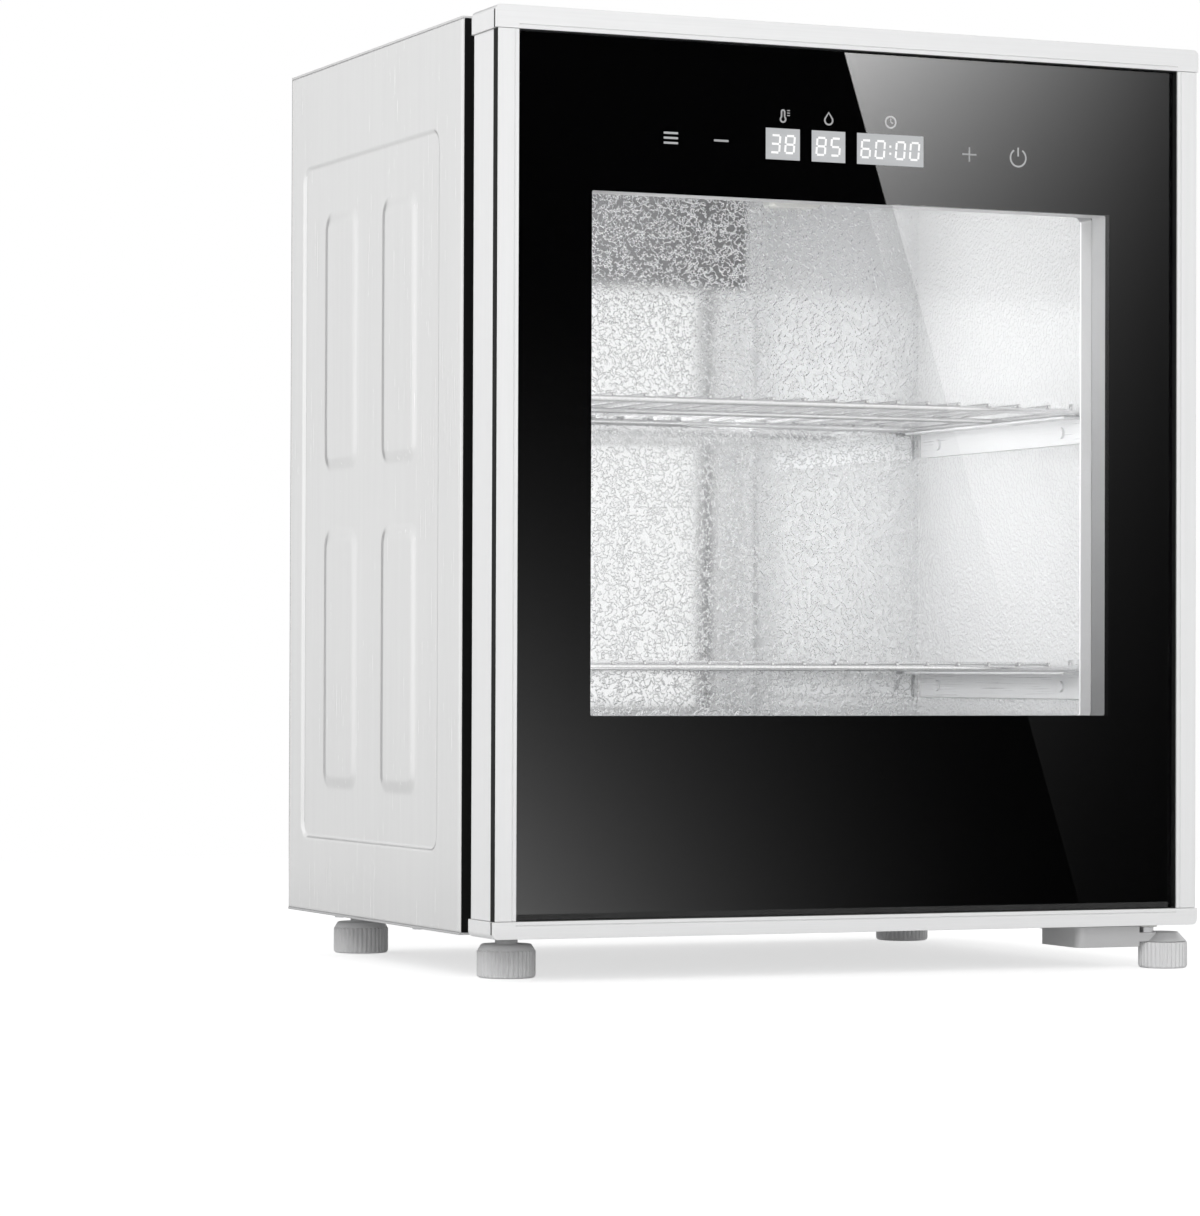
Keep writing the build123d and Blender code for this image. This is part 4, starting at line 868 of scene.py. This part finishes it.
class PROOFER_OT_seal(bpy.types.Operator):
    """Build the door seal as a profile carried round the door's back"""

    bl_idname = "proofer.seal"
    bl_label = "Door seal"

    def execute(self, context):
        door = settings().door
        low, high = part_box("door_gasket")
        front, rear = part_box("door_inner_frame")[1].y, high.y
        bead, width, foot = door.seal_bead, 13.0 * MM, 1.5 * MM
        curve = [(bead * math.sin(a), bead * math.cos(a)) for a in np.linspace(0.0, np.pi, 9)]
        outer = [(bead - across, rear - bead - along) for across, along in curve]
        inner = [(width - bead + across, rear - bead + along) for across, along in curve[::-1]]
        waist_y, foot_y = rear - 2 * bead - foot, front + foot
        waist = [(width - 3 * MM, waist_y), (width - 2 * MM, foot_y), (width - 2 * MM, front),
                 (2 * MM, front), (2 * MM, foot_y), (3 * MM, waist_y)]
        piece = Piece()
        carried_profile(piece, (low.x, high.x), (low.z, high.z), 5 * MM, outer + inner + waist)
        rubber = seal_rubber("seal_rubber", door.seal)
        piece.build("door_seal", "door", rubber, slot="seal_rubber", replaces=["door_gasket"])
        return {"FINISHED"}


# --- controls ----------------------------------------------------------------------------------------
SEGMENTS = {"0": "abcdef", "3": "abcdg", "5": "acdfg", "6": "acdefg", "8": "abcdefg"}


def segment_path(letter, half_x, half_z):
    """End points of one segment's centre line, in a digit centred at the origin."""
    ends = {"a": ((-1, 1), (1, 1)), "b": ((1, 1), (1, 0)), "c": ((1, 0), (1, -1)), "d": ((-1, -1), (1, -1)),
            "e": ((-1, 0), (-1, -1)), "f": ((-1, 1), (-1, 0)), "g": ((-1, 0), (1, 0))}
    path = np.array(ends[letter]) * [half_x, half_z]
    along = (path[1] - path[0]) / np.linalg.norm(path[1] - path[0])
    gap = 0.45 * MM
    return path + [gap * along, -gap * along]


def digits(text, node, controls, material):
    """Seven-segment figures centred on a display, slanted by x + slant z, with square dots for a colon."""
    before, thickness = 0.05 * MM, 0.04 * MM
    plane_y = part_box(node)[0].y - before
    middle = sum(span(node, 2)) / 2
    colon, gap = 3.6 * MM, 2.3 * MM
    widths = [colon if mark == ":" else controls.digit_width + gap for mark in text]
    left = plan(node)[0][0] - sum(widths) / 2
    half_x = (controls.digit_width - controls.digit_stroke) / 2
    half_z = (controls.digit_height - controls.digit_stroke) / 2
    dot, slant, dot_rise = 0.6 * MM, 0.08, 0.42
    piece = Piece()
    for mark, wide in zip(text, widths):
        if mark == ":":
            strokes = [line(-dot, rise * half_z, dot, rise * half_z) for rise in (-dot_rise, dot_rise)]
            stroke = 2 * dot
        else:
            strokes = [segment_path(letter, half_x, half_z) for letter in SEGMENTS[mark]]
            strokes = [path + [[slant, 0.0]] * path[:, 1:] for path in strokes]
            stroke = controls.digit_stroke
        for path in strokes:
            ribbon(piece, path + [left + wide / 2, middle], stroke, plane_y, thickness)
        left += wide
    piece.build(f"{node}_figures", "door", material, smooth=False, slot="display_glow")


def arc(centre, radius, start, end, steps=28):
    """Points of an arc between two angles in degrees, counter-clockwise from +X."""
    angle = np.radians(np.linspace(start, end, steps))
    return np.stack([centre[0] + radius * np.cos(angle), centre[1] + radius * np.sin(angle)], axis=-1)


def line(x0, z0, x1, z1):
    """A straight path."""
    return np.array([[x0, z0], [x1, z1]])


def sign_strokes(stroke):
    """Each sign's strokes about its middle, in millimetres: a path, its width and whether it closes."""
    gap, bold = stroke / 2, 0.95
    return {
        "menu": [(line(-4.1, rise, 4.1, rise), 1.1, False) for rise in (-2.6, 0.0, 2.6)],
        "less": [(line(-4.2, 0.0, 4.2, 0.0), 1.1, False)],
        "more": [(line(*ends), stroke, False)
                 for ends in ((-4.3, 0.0, 4.3, 0.0), (0.0, -3.9, 0.0, -gap), (0.0, gap, 0.0, 3.9))],
        "power": [(arc((0.0, -0.4), 4.7, 122, 418, 48), bold, False),
                  (line(0.0, 0.4, 0.0, 5.2), bold, False)],
        "warmth": [(arc((0.0, -1.7), 1.5, 125, 415, 30), 0.9, False),
                   (np.vstack([[0.9, -0.5], arc((0.0, 2.2), 0.9, 0, 180, 12), [-0.9, -0.5]]), 0.9, False),
                   *[(line(2.3, rise, 4.0, rise), 0.5, False) for rise in (0.4, 1.7, 3.0)]],
        "damp": [(np.vstack([[0.0, 3.2], arc((0.0, -0.9), 2.3, 158, 382, 30)]), 0.9, True)],
        "time": [(arc((0.0, 0.0), 3.0, 0, 350, 36), 0.9, True),
                 (np.array([[0.0, 1.9], [0.0, 0.0], [1.4, -0.6]]), 0.6, False)],
    }


class PROOFER_OT_controls(bpy.types.Operator):
    """Build the figures and signs behind the front pane"""

    bl_idname = "proofer.controls"
    bl_label = "Controls"

    def execute(self, context):
        controls = settings().controls
        figures = {"display_temperature": "38", "display_humidity": "85", "display_timer": "60:00"}
        dress(backlit("display_panel", controls.panel, 1.0, 160.0, (0.2, 1.0, 1.0), 0.93), *figures)
        lit = backlit("lit_figures", controls.figures, 1.0)
        for node, text in figures.items():
            digits(text, node, controls, lit)
        strong = backlit("strong_signs", controls.signs, 0.5)
        plain = backlit("key_signs", controls.signs, 0.42)
        faint = backlit("display_signs", controls.faint, 0.9)
        clear = backlit("time_sign", controls.faint, 1.4)
        first = span("display_temperature", 0)[0] + controls.display_seat
        last = span("display_timer", 0)[1] - controls.display_seat
        height = sum(span("display_timer", 2)) / 2
        places = {"menu": (first - controls.menu_gap, height, strong),
                  "less": (first - controls.less_gap, height, plain),
                  "more": (last + controls.more_gap, height, plain),
                  "power": (last + controls.power_gap, height, strong)}
        for sign, display, material in (("warmth", "temperature", faint), ("damp", "humidity", faint),
                                        ("time", "timer", clear)):
            places[sign] = (plan(f"display_{display}")[0][0], height + controls.sign_rise, material)
        before, thickness = 0.08 * MM, 0.03 * MM
        plane_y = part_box("outer_glass")[1].y - before
        for sign, strokes in sign_strokes(controls.stroke / MM).items():
            x, z, material = places[sign]
            piece = Piece()
            for path, width, closed in strokes:
                ribbon(piece, path * MM + [x, z], width * MM, plane_y, thickness, closed)
            piece.build(f"sign_{sign}", "door", material, smooth=False, slot="display_glow")
        return {"FINISHED"}


# --- cavity ------------------------------------------------------------------------------------------
def wire_shelf(node, body, cavity, material):
    """Wire shelf: a round wire carried round a rounded rectangle, cross wires, a middle bar and hooks."""
    low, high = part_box(node)
    radius, cross = cavity.frame_wire, cavity.cross_wire
    bite, bar_radius, hook_radius = 0.5 * MM, radius - 0.25 * MM, radius - 0.3 * MM
    z = low.z + radius
    (middle_x, middle_y), (half_x, half_y) = plan(node)
    half_x, half_y = half_x - radius, half_y - radius
    up = (0, 0, 1)
    piece = Piece()
    x, y = rounded_outline(half_x, half_y, cavity.shelf_corner, 9)
    outline = np.stack([x + middle_x, y + middle_y, np.full_like(x, z)], axis=-1)
    carried_tube(piece, outline, radius, up, 16, closed=True)
    wire_z = z + radius + cross - bite
    marks = [low.y, low.y + 0.4 * MM, middle_y, high.y - 0.4 * MM, high.y]
    count = 2 * int((half_x - cavity.wire_pitch / 2) / cavity.wire_pitch) + 1
    for index in range(count):
        along = middle_x + (index - (count - 1) / 2) * cavity.wire_pitch
        carried_tube(piece, [(along, mark, wire_z) for mark in marks], cross, up)
    bar = [(middle_x + side * half_x, middle_y, z) for side in (-1, 0, 1)]
    carried_tube(piece, bar, bar_radius, up, 14)
    for side in (-1, 1):
        foot = np.array([middle_x + side * half_x, low.y + 2 * radius + cavity.shelf_corner, z])
        rise = np.linspace(0.0, high.z - z, 4)[:, None] * [up]
        carried_tube(piece, foot + rise, hook_radius, (0, 1, 0))
    piece.build(f"{node}_wires", body, material, slot="chromed_wire", replaces=[node])


class PROOFER_OT_shelves(bpy.types.Operator):
    """Build the two wire shelves"""

    bl_idname = "proofer.shelves"
    bl_label = "Wire shelves"

    def execute(self, context):
        cavity = settings().cavity
        wire = bright_wire("plated_wire", cavity.wire)
        wire_shelf("upper_shelf", "shelf_upper", cavity, wire)
        wire_shelf("lower_shelf", "shelf_lower", cavity, wire)
        return {"FINISHED"}


def mouth_trim(cavity, material):
    """Bright angle round the cavity's mouth: a profile carried round the front frame's inner edge."""
    mouth_x = (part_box("liner_left")[1].x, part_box("liner_right")[0].x)
    mouth_z = (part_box("liner_floor")[1].z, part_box("liner_ceiling")[0].z)
    front, back = span("front_frame", 1)
    sheet, lip = cavity.trim_sheet, cavity.trim_lip
    profile = [(-lip, front - sheet), (sheet, front - sheet), (sheet, back), (0.0, back), (0.0, front),
               (-lip, front)]
    piece = Piece()
    carried_profile(piece, mouth_x, mouth_z, 4 * MM, profile)
    piece.build("mouth_trim", "cabinet", material, smooth=False, slot="brushed_aluminium")


def cavity_lights(cavity):
    """Lights of the cavity: its lamp, one from the left wall to the right one, and one to the door's back."""
    low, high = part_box("cavity_lamp")
    (middle_x, middle_y), _ = plan("cavity_lamp")
    left_x, back_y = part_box("liner_left")[1].x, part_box("liner_back")[0].y
    lamp = add_light("cavity_light", (middle_x, middle_y, low.z - 1 * MM), None, high.x - low.x,
                     cavity.lamp_power, high.y - low.y)
    fill_place, fill_aim = (left_x + 6 * MM, low.y + 10 * MM, 0.26), (0.1, low.y + 60 * MM, 0.25)
    fill_width, fill_height = 0.03, 0.36
    fill = add_light("cavity_fill", fill_place, fill_aim, fill_width, cavity.fill_power, fill_height)
    glow_place, glow_aim, glow_size = (0.015, back_y - 4 * MM, 0.34), (0.11, back_y - 1.0, 0.38), 0.12
    glow = add_light("cavity_glow", glow_place, glow_aim, glow_size, cavity.glow_power)
    for light in (lamp, fill, glow):
        light.visible_camera = False


class PROOFER_OT_cavity(bpy.types.Operator):
    """Finish the liner, the rails, the fan and the sensor"""

    bl_idname = "proofer.cavity"
    bl_label = "Cavity"

    def execute(self, context):
        cavity = settings().cavity
        dress(stucco_aluminium("stucco_back", cavity.liner, (0.0, 0.6, 0.0)), "liner_back")
        sides = stucco_aluminium("stucco_sides", cavity.liner, (0.6, 0.0, 0.0), 0.45)
        dress(sides, "liner_left", "liner_right")
        dress(stucco_aluminium("stucco_floor", cavity.liner, (0.0, 0.0, 0.6)), "liner_floor", "liner_ceiling")
        satin = brushed_metal("satin_aluminium", (0.72, 0.725, 0.73), "y", 0.6, 0.35)
        dress(satin, "fan_cover", "tray_runners", "fan_rotor")
        light = brushed_metal("light_aluminium", (0.94, 0.945, 0.95), "y", 0.3, 0.3)
        dress(light, "upper_rails", "lower_rails", "rail_screws")
        mouth_trim(cavity, brushed_metal("trim_aluminium", (0.77, 0.775, 0.78), "z", 0.3, 0.3))
        dress(cast_metal("plated_clip", (0.5, 0.5, 0.5)), "element_clips")
        dress(moulded_plastic("white_plastic", (0.72, 0.72, 0.69), 0.4),
              "climate_sensor", "lower_hinge_bush", "upper_hinge_bush")
        dress(backlit("lamp_diffuser", (1.0, 1.0, 1.0), 1.0), "cavity_lamp")
        cavity_lights(cavity)
        return {"FINISHED"}


class PROOFER_OT_heating(bpy.types.Operator):
    """Build the heating element and the water tray"""

    bl_idname = "proofer.heating"
    bl_label = "Heater and water tray"

    def execute(self, context):
        cavity = settings().cavity
        low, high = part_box("heating_element")
        radius = (high.z - low.z) / 2
        bend = 22 * MM
        x0, x1, y0, y1 = low.x + radius, high.x - radius, low.y + radius, high.y
        right = arc((x1 - bend, y0 + bend), bend, -90, 0, 12)
        left = arc((x0 + bend, y0 + bend), bend, 180, 270, 12)
        flat = np.vstack([[x0, y1], left, right, [x1, y1]])
        path = np.column_stack([flat, np.full(len(flat), low.z + radius)])
        piece = Piece()
        carried_tube(piece, path, radius, (0, 0, 1), 16)
        sheath = heated_sheath("heater_sheath", cavity.sheath)
        piece.build("heater_tube", "cabinet", sheath, slot="heater_sheath", replaces=["heating_element"])
        drawn_tray(brushed_metal("drawn_tray", cavity.tray, "x", 0.9, 0.3))
        return {"FINISHED"}


def drawn_tray(material):
    """Deep-drawn tray: rounded rectangles that shrink and sink along the profile of rim, wall and floor."""
    (middle_x, middle_y), (half_x, half_y) = plan("water_tray")
    bottom, top = span("water_tray", 2)
    rim, depth, sheet, draft, radius = 9.5 * MM, top - bottom, 0.8 * MM, 2.2 * MM, 3.0 * MM
    corner, least_corner, lip = 11 * MM, 4 * MM, 0.4 * MM
    blend = [(1 - math.cos(a), 1 - math.sin(a)) for a in np.linspace(0.0, np.pi / 2, 6)]
    upper = [(lip, 0.0), (0.0, -lip), (lip, -sheet)]
    under = [(rim, -sheet), (rim + draft, -depth + radius)]
    under += [(rim + draft + radius * a, -depth + radius * b) for a, b in blend]
    inside = [(rim + draft + sheet + radius * a, -depth + sheet + radius * b) for a, b in blend[::-1]]
    inside += [(rim + draft + sheet, -depth + radius + sheet), (rim + sheet + 1.2 * MM, -1.2 * MM),
               (rim - 0.6 * MM, 0.0)]
    piece = Piece()
    for profile, closes in ((upper + under, True), (inside + upper[:1], False)):
        rows = []
        for inward, drop in profile:
            x, y = rounded_outline(half_x - inward, half_y - inward, max(corner - 0.3 * inward, least_corner))
            rows.append(np.stack([x + middle_x, y + middle_y, np.full_like(x, top + drop)], axis=-1))
        columns = len(rows[0])
        middle = (rows[-1] if closes else rows[0]).mean(axis=0)
        start = (len(profile) - 1) * columns if closes else 0
        piece.add(np.vstack([*rows, middle[None]]), [
            band_quads(len(profile), columns, False, True),
            fan_triangles(np.arange(columns) + start, len(profile) * columns, not closes)])
    piece.build("water_tray_pan", "tray", material, slot="brushed_stainless", replaces=["water_tray"])


# --- feet and hinges ---------------------------------------------------------------------------------
def ribbed_profile(radius, low, high, lower_round):
    """Profile of a foot's ribbed part from the floor up, with a rounded lower edge and a small upper one."""
    inset = radius - lower_round
    lower = [(inset + lower_round * math.sin(a), low + lower_round * (1 - math.cos(a)))
             for a in np.linspace(0.0, np.pi / 2, 6)]
    body = [(radius, z) for z in np.linspace(low + lower_round, high - 0.5 * MM, 6)[1:]]
    return lower + body + [(radius - 0.15 * MM, high - 0.15 * MM), (radius - 0.6 * MM, high)]


def levelling_foot(node, feet, material):
    """Ribbed foot and the lower end of its stud. One under the body has a cone and a neck over its ribs."""
    bottom, stud_top = span(node, 2)
    centre, (radius, _) = plan(node)
    neck, stud = 9.6 * MM, 4.0
    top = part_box("base_pan")[0].z - neck
    if node == "foot_hinge":
        ribs = feet.ribs - 4
        upper = [(stud, 0.05)]
    else:
        ribs = feet.ribs
        upper = [(radius / MM - 0.7, 0.15), (radius / MM - 0.5, 0.4), (13.4, 3.0), (12.9, 3.3), (6.2, 3.4),
                 (6.0, 3.6), (6.0, 9.3), (stud, 9.35)]
    profile = ribbed_profile(radius, bottom, top, feet.lower_round)
    profile += [(r * MM, top + rise * MM) for r, rise in upper] + [(stud * MM, stud_top)]
    ribbed = (bottom + 0.6 * MM, top + 0.4 * MM)
    piece = Piece()
    turned(piece, centre, profile, ribs * 8, ribs, feet.rib_depth, ribbed)
    piece.build(f"{node}_turned", node, material, slot="foot_plastic", replaces=[node])


class PROOFER_OT_feet(bpy.types.Operator):
    """Build the four levelling feet"""

    bl_idname = "proofer.feet"
    bl_label = "Levelling feet"

    def execute(self, context):
        feet = settings().feet
        grey = moulded_plastic("foot_plastic", feet.plastic, 0.45)
        for node in ("foot_front_left", "foot_rear_left", "foot_rear_right", "foot_hinge"):
            levelling_foot(node, feet, grey)
        return {"FINISHED"}


class PROOFER_OT_hinges(bpy.types.Operator):
    """Finish the hinge brackets, the pin and the screws"""

    bl_idname = "proofer.hinges"
    bl_label = "Hinges and screws"

    def execute(self, context):
        bracket = cast_metal("cast_bracket", settings().shell.plated)
        dress(bracket, "lower_hinge_bracket", "upper_hinge_bracket")
        dress(bright_wire("pin_steel", (0.6, 0.6, 0.61)), "lower_hinge_pin", "panel_screws", "hinge_screws")
        return {"FINISHED"}


# --- stage -------------------------------------------------------------------------------------------
def set_axes(made, right, up, backward, place):
    """Link an object that looks backward along its own Z, with its axes and place."""
    turn = np.eye(4)
    turn[:3] = np.column_stack([right, up, backward, place])
    made.matrix_world = Matrix(turn.tolist())
    bpy.context.scene.collection.objects.link(made)


def add_camera(stage):
    """Camera from its azimuth, pitch and roll: right, up and backward axes as a rotation."""
    azimuth, pitch, roll = stage.azimuth, stage.pitch, stage.roll
    ahead = np.array([math.sin(azimuth), math.cos(azimuth), 0.0])
    right = np.array([math.cos(azimuth), -math.sin(azimuth), 0.0])
    up = np.array([0.0, 0.0, 1.0])
    forward = ahead * math.cos(pitch) + up * math.sin(pitch)
    up = up * math.cos(pitch) - ahead * math.sin(pitch)
    camera = bpy.data.objects.new("camera", bpy.data.cameras.new("camera"))
    rolled_right = right * math.cos(roll) - up * math.sin(roll)
    rolled_up = right * math.sin(roll) + up * math.cos(roll)
    set_axes(camera, rolled_right, rolled_up, -forward, (stage.camera_x, stage.camera_y, stage.camera_z))
    camera.data.lens = stage.lens
    camera.data.sensor_width = 36.0
    bpy.context.scene.camera = camera


def stage_quad(name, corners, material, only_mirrored=True):
    """One flat face of the stage; by default only mirror images show it."""
    mesh = bpy.data.meshes.new(name)
    mesh.from_pydata(corners, [], [(0, 1, 2, 3)])
    mesh.materials.append(material)
    made = bpy.data.objects.new(name, mesh)
    bpy.context.scene.collection.objects.link(made)
    if only_mirrored:
        made.visible_camera = made.visible_diffuse = made.visible_shadow = made.visible_transmission = False


def upright_corners(start, end, top):
    """Corners of an upright quad over the line between two places (x, y) on the floor."""
    low = 1 * MM
    return [(*start, low), (*end, low), (*end, top), (*start, top)]


def add_floor(stage):
    """Large pale floor: it shows the object's shadow near it and turns plain white further off."""
    finish = Finish("pale_floor")
    seen, mirrored = finish.ray("Is Camera Ray"), finish.ray("Is Glossy Ray")
    clouds = finish.noise(3.0, detail=2.0)
    tone = finish.blend(clouds.step(0.3, 0.7) * 0.2, shade(stage.floor), shade(stage.floor, 0.99))
    matt = finish.node("ShaderNodeBsdfDiffuse", {}, {"Color": tone})
    mirror_lift = 0.25
    lift = finish.emission(seen * stage.floor_lift + mirrored * mirror_lift)
    near = finish.node("ShaderNodeAddShader", {}, {0: matt, 1: lift})
    away = finish.node("ShaderNodeVectorMath", {"operation": "LENGTH"}, {0: finish.place()}, output="Value")
    factor = (seen + mirrored).limited() * away.step(stage.lit_floor, 2 * stage.lit_floor)
    values = {0: factor, 1: near, 2: finish.emission(1.0)}
    material = finish.output(finish.node("ShaderNodeMixShader", {}, values))
    half = 12.0
    corners = [(-half, -half, 0), (half, -half, 0), (half, half, 0), (-half, half, 0)]
    stage_quad("floor", corners, material, only_mirrored=False)


def card_glow(stage, scale):
    """Light of the card over the pane's own x and z.

    The card's x and z go back to the pane by x = eye + (card x - eye) / scale. A dim glow falls off from
    the lower left corner; right of a slanting edge a bright one falls off to the right and downward.
    """
    finish = Finish("card_glow")
    low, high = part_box("outer_glass")
    x = (finish.along("X") - stage.camera_x) * (1 / scale) + stage.camera_x
    z = (finish.along("Z") - stage.camera_z) * (1 / scale) + stage.camera_z
    reach_x, reach_z, curve_x, curve_z, rise, least = 0.356, 0.36, 1.6, 1.35, 0.32, 0.02
    leftward = (1.0 - (x - low.x) * (1 / reach_x)).limited()
    downward = (1.0 - (z - low.z) * (1 / reach_z)).limited()
    dim = leftward ** curve_x * downward ** curve_z * rise + least
    slant = (stage.wedge_right - stage.wedge_left) / stage.wedge_drop
    past_edge = (x - stage.wedge_left - (high.z - z) * slant).step(-0.2 * MM, 0.8 * MM)
    brightest_z, fade, level, loss = 0.468, 0.205, 0.62, 2.1
    fall = 2.718 ** ((z - brightest_z) * (1 / fade))
    bright = (level - (x - stage.wedge_left) * loss) * fall * past_edge
    gamma, mirror_share = 2.2, 0.041
    glow = finish.emission((dim + bright).limited() ** gamma * (1 / mirror_share))
    outer, past = -0.5 * stage.card_margin, 20 * MM
    inside = (x - low.x + past).step(outer, 0.0) * (high.x - x + past).step(outer, 0.0)
    inside = inside * (high.z - z + past).step(outer, 0.0)
    through = finish.node("ShaderNodeBsdfTransparent")
    values = {0: inside * finish.ray("Is Singular Ray"), 1: through, 2: glow}
    return finish.output(finish.node("ShaderNodeMixShader", {}, values))


def add_card(stage):
    """Card that only the pane's mirror image shows: the eye mirrored in the pane throws the pane's outline
    onto it."""
    low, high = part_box("outer_glass")
    eye_y = 2 * low.y - stage.camera_y
    scale = (stage.card_y - eye_y) / (low.y - eye_y)
    margin = stage.card_margin
    left, right = [stage.camera_x + (x - stage.camera_x) * scale for x in (low.x - margin, high.x + margin)]
    top = stage.camera_z + (high.z + margin - stage.camera_z) * scale
    corners = upright_corners((left, stage.card_y), (right, stage.card_y), top)
    stage_quad("card", corners[::-1], card_glow(stage, scale))


def mirror_card(name, start, end, level):
    """Upright card behind the object that only mirror images show, over the line between two places."""
    finish = Finish(name)
    clouds, top = 0.05, 2.2
    glow = finish.emission(finish.noise(4.0, detail=1.0) * clouds * level + level)
    stage_quad(name, upright_corners(start, end, top), finish.output(glow))


def add_light(name, place, aim, size, power, height=None):
    """Soft area light that points at a spot, or straight down without one. It is square without a height."""
    light = bpy.data.objects.new(name, bpy.data.lights.new(name, "AREA"))
    light.data.shape = "RECTANGLE"
    light.data.size, light.data.size_y = size, height or size
    light.data.energy = power
    right, backward = np.array([1.0, 0.0, 0.0]), np.array([0.0, 0.0, 1.0])
    if aim:
        backward = np.subtract(place, aim) / np.linalg.norm(np.subtract(place, aim))
        right = np.cross([0.0, 0.0, 1.0], backward)
        right /= np.linalg.norm(right)
    set_axes(light, right, np.cross(backward, right), backward, place)
    light.visible_glossy = False
    return light


def add_world(stage):
    """Even studio light: white to the camera and in mirror images, dimmer as light on the object."""
    finish = Finish("studio", world=True)
    strength = finish.ray("Is Camera Ray") * (1.0 - stage.ambient) + stage.ambient
    strength = strength + finish.ray("Is Glossy Ray") * (stage.mirrored - stage.ambient)
    values = {"Color": WHITE, "Strength": strength}
    bpy.context.scene.world = finish.output(finish.node("ShaderNodeBackground", {}, values))


class PROOFER_OT_stage(bpy.types.Operator):
    """Set up the camera, the floor, the card, the lights and the world"""

    bl_idname = "proofer.stage"
    bl_label = "Stage"

    def execute(self, context):
        stage = settings().stage
        add_camera(stage)
        add_floor(stage)
        add_card(stage)
        flag_right, flag_level = 1.2, 0.10
        mirror_card("dark_card", (stage.flag_left, stage.flag_y), (flag_right, stage.flag_y), flag_level)
        side_x, side_front, side_rear = -1.6, 0.25, 1.5
        mirror_card("bright_card", (side_x, side_front), (side_x, side_rear), stage.side_glow)
        add_world(stage)
        middle = (0.0, 0.0, 0.25)
        for name, place, power in (("key", (-1.8, -2.4, 1.45), stage.key_power),
                                   ("front", (-0.9, -2.7, 0.40), stage.front_power),
                                   ("rear_left", (-1.6, 2.5, 1.4), 0.5 * stage.rear_power),
                                   ("rear_right", (2.6, 1.2, 1.4), stage.rear_power)):
            add_light(name, place, middle, stage.light_size, power)
        context.scene.view_settings.view_transform = "Standard"
        context.scene.cycles.transparent_max_bounces = 24
        return {"FINISHED"}


# --- add-on ------------------------------------------------------------------------------------------
OPERATORS = (PROOFER_OT_shell, PROOFER_OT_door_frame, PROOFER_OT_glazing, PROOFER_OT_seal,
             PROOFER_OT_controls, PROOFER_OT_cavity, PROOFER_OT_shelves, PROOFER_OT_heating,
             PROOFER_OT_feet, PROOFER_OT_hinges, PROOFER_OT_stage)


class PROOFER_PT_panel(bpy.types.Panel):
    """Lists the pieces of the dough proofer"""

    bl_idname = "PROOFER_PT_panel"
    bl_label = "Dough proofer"
    bl_space_type = "VIEW_3D"
    bl_region_type = "UI"
    bl_category = "Proofer"

    def draw(self, context):
        for operator in OPERATORS:
            self.layout.operator(operator.bl_idname)


CLASSES = (ShellSettings, DoorSettings, ControlSettings, CavitySettings, FootSettings, StageSettings,
           ProoferSettings, *OPERATORS, PROOFER_PT_panel)


def register():
    """Register the classes and the scene's settings."""
    for entry in CLASSES:
        bpy.utils.register_class(entry)
    bpy.types.Scene.proofer = PointerProperty(type=ProoferSettings)


def unregister():
    """Take the settings and the classes away again."""
    del bpy.types.Scene.proofer
    for entry in reversed(CLASSES):
        bpy.utils.unregister_class(entry)


def main():
    """Build every piece."""
    register()
    for operator in OPERATORS:
        group, name = operator.bl_idname.split(".")
        getattr(getattr(bpy.ops, group), name)()


if __name__ == "__main__":
    main()
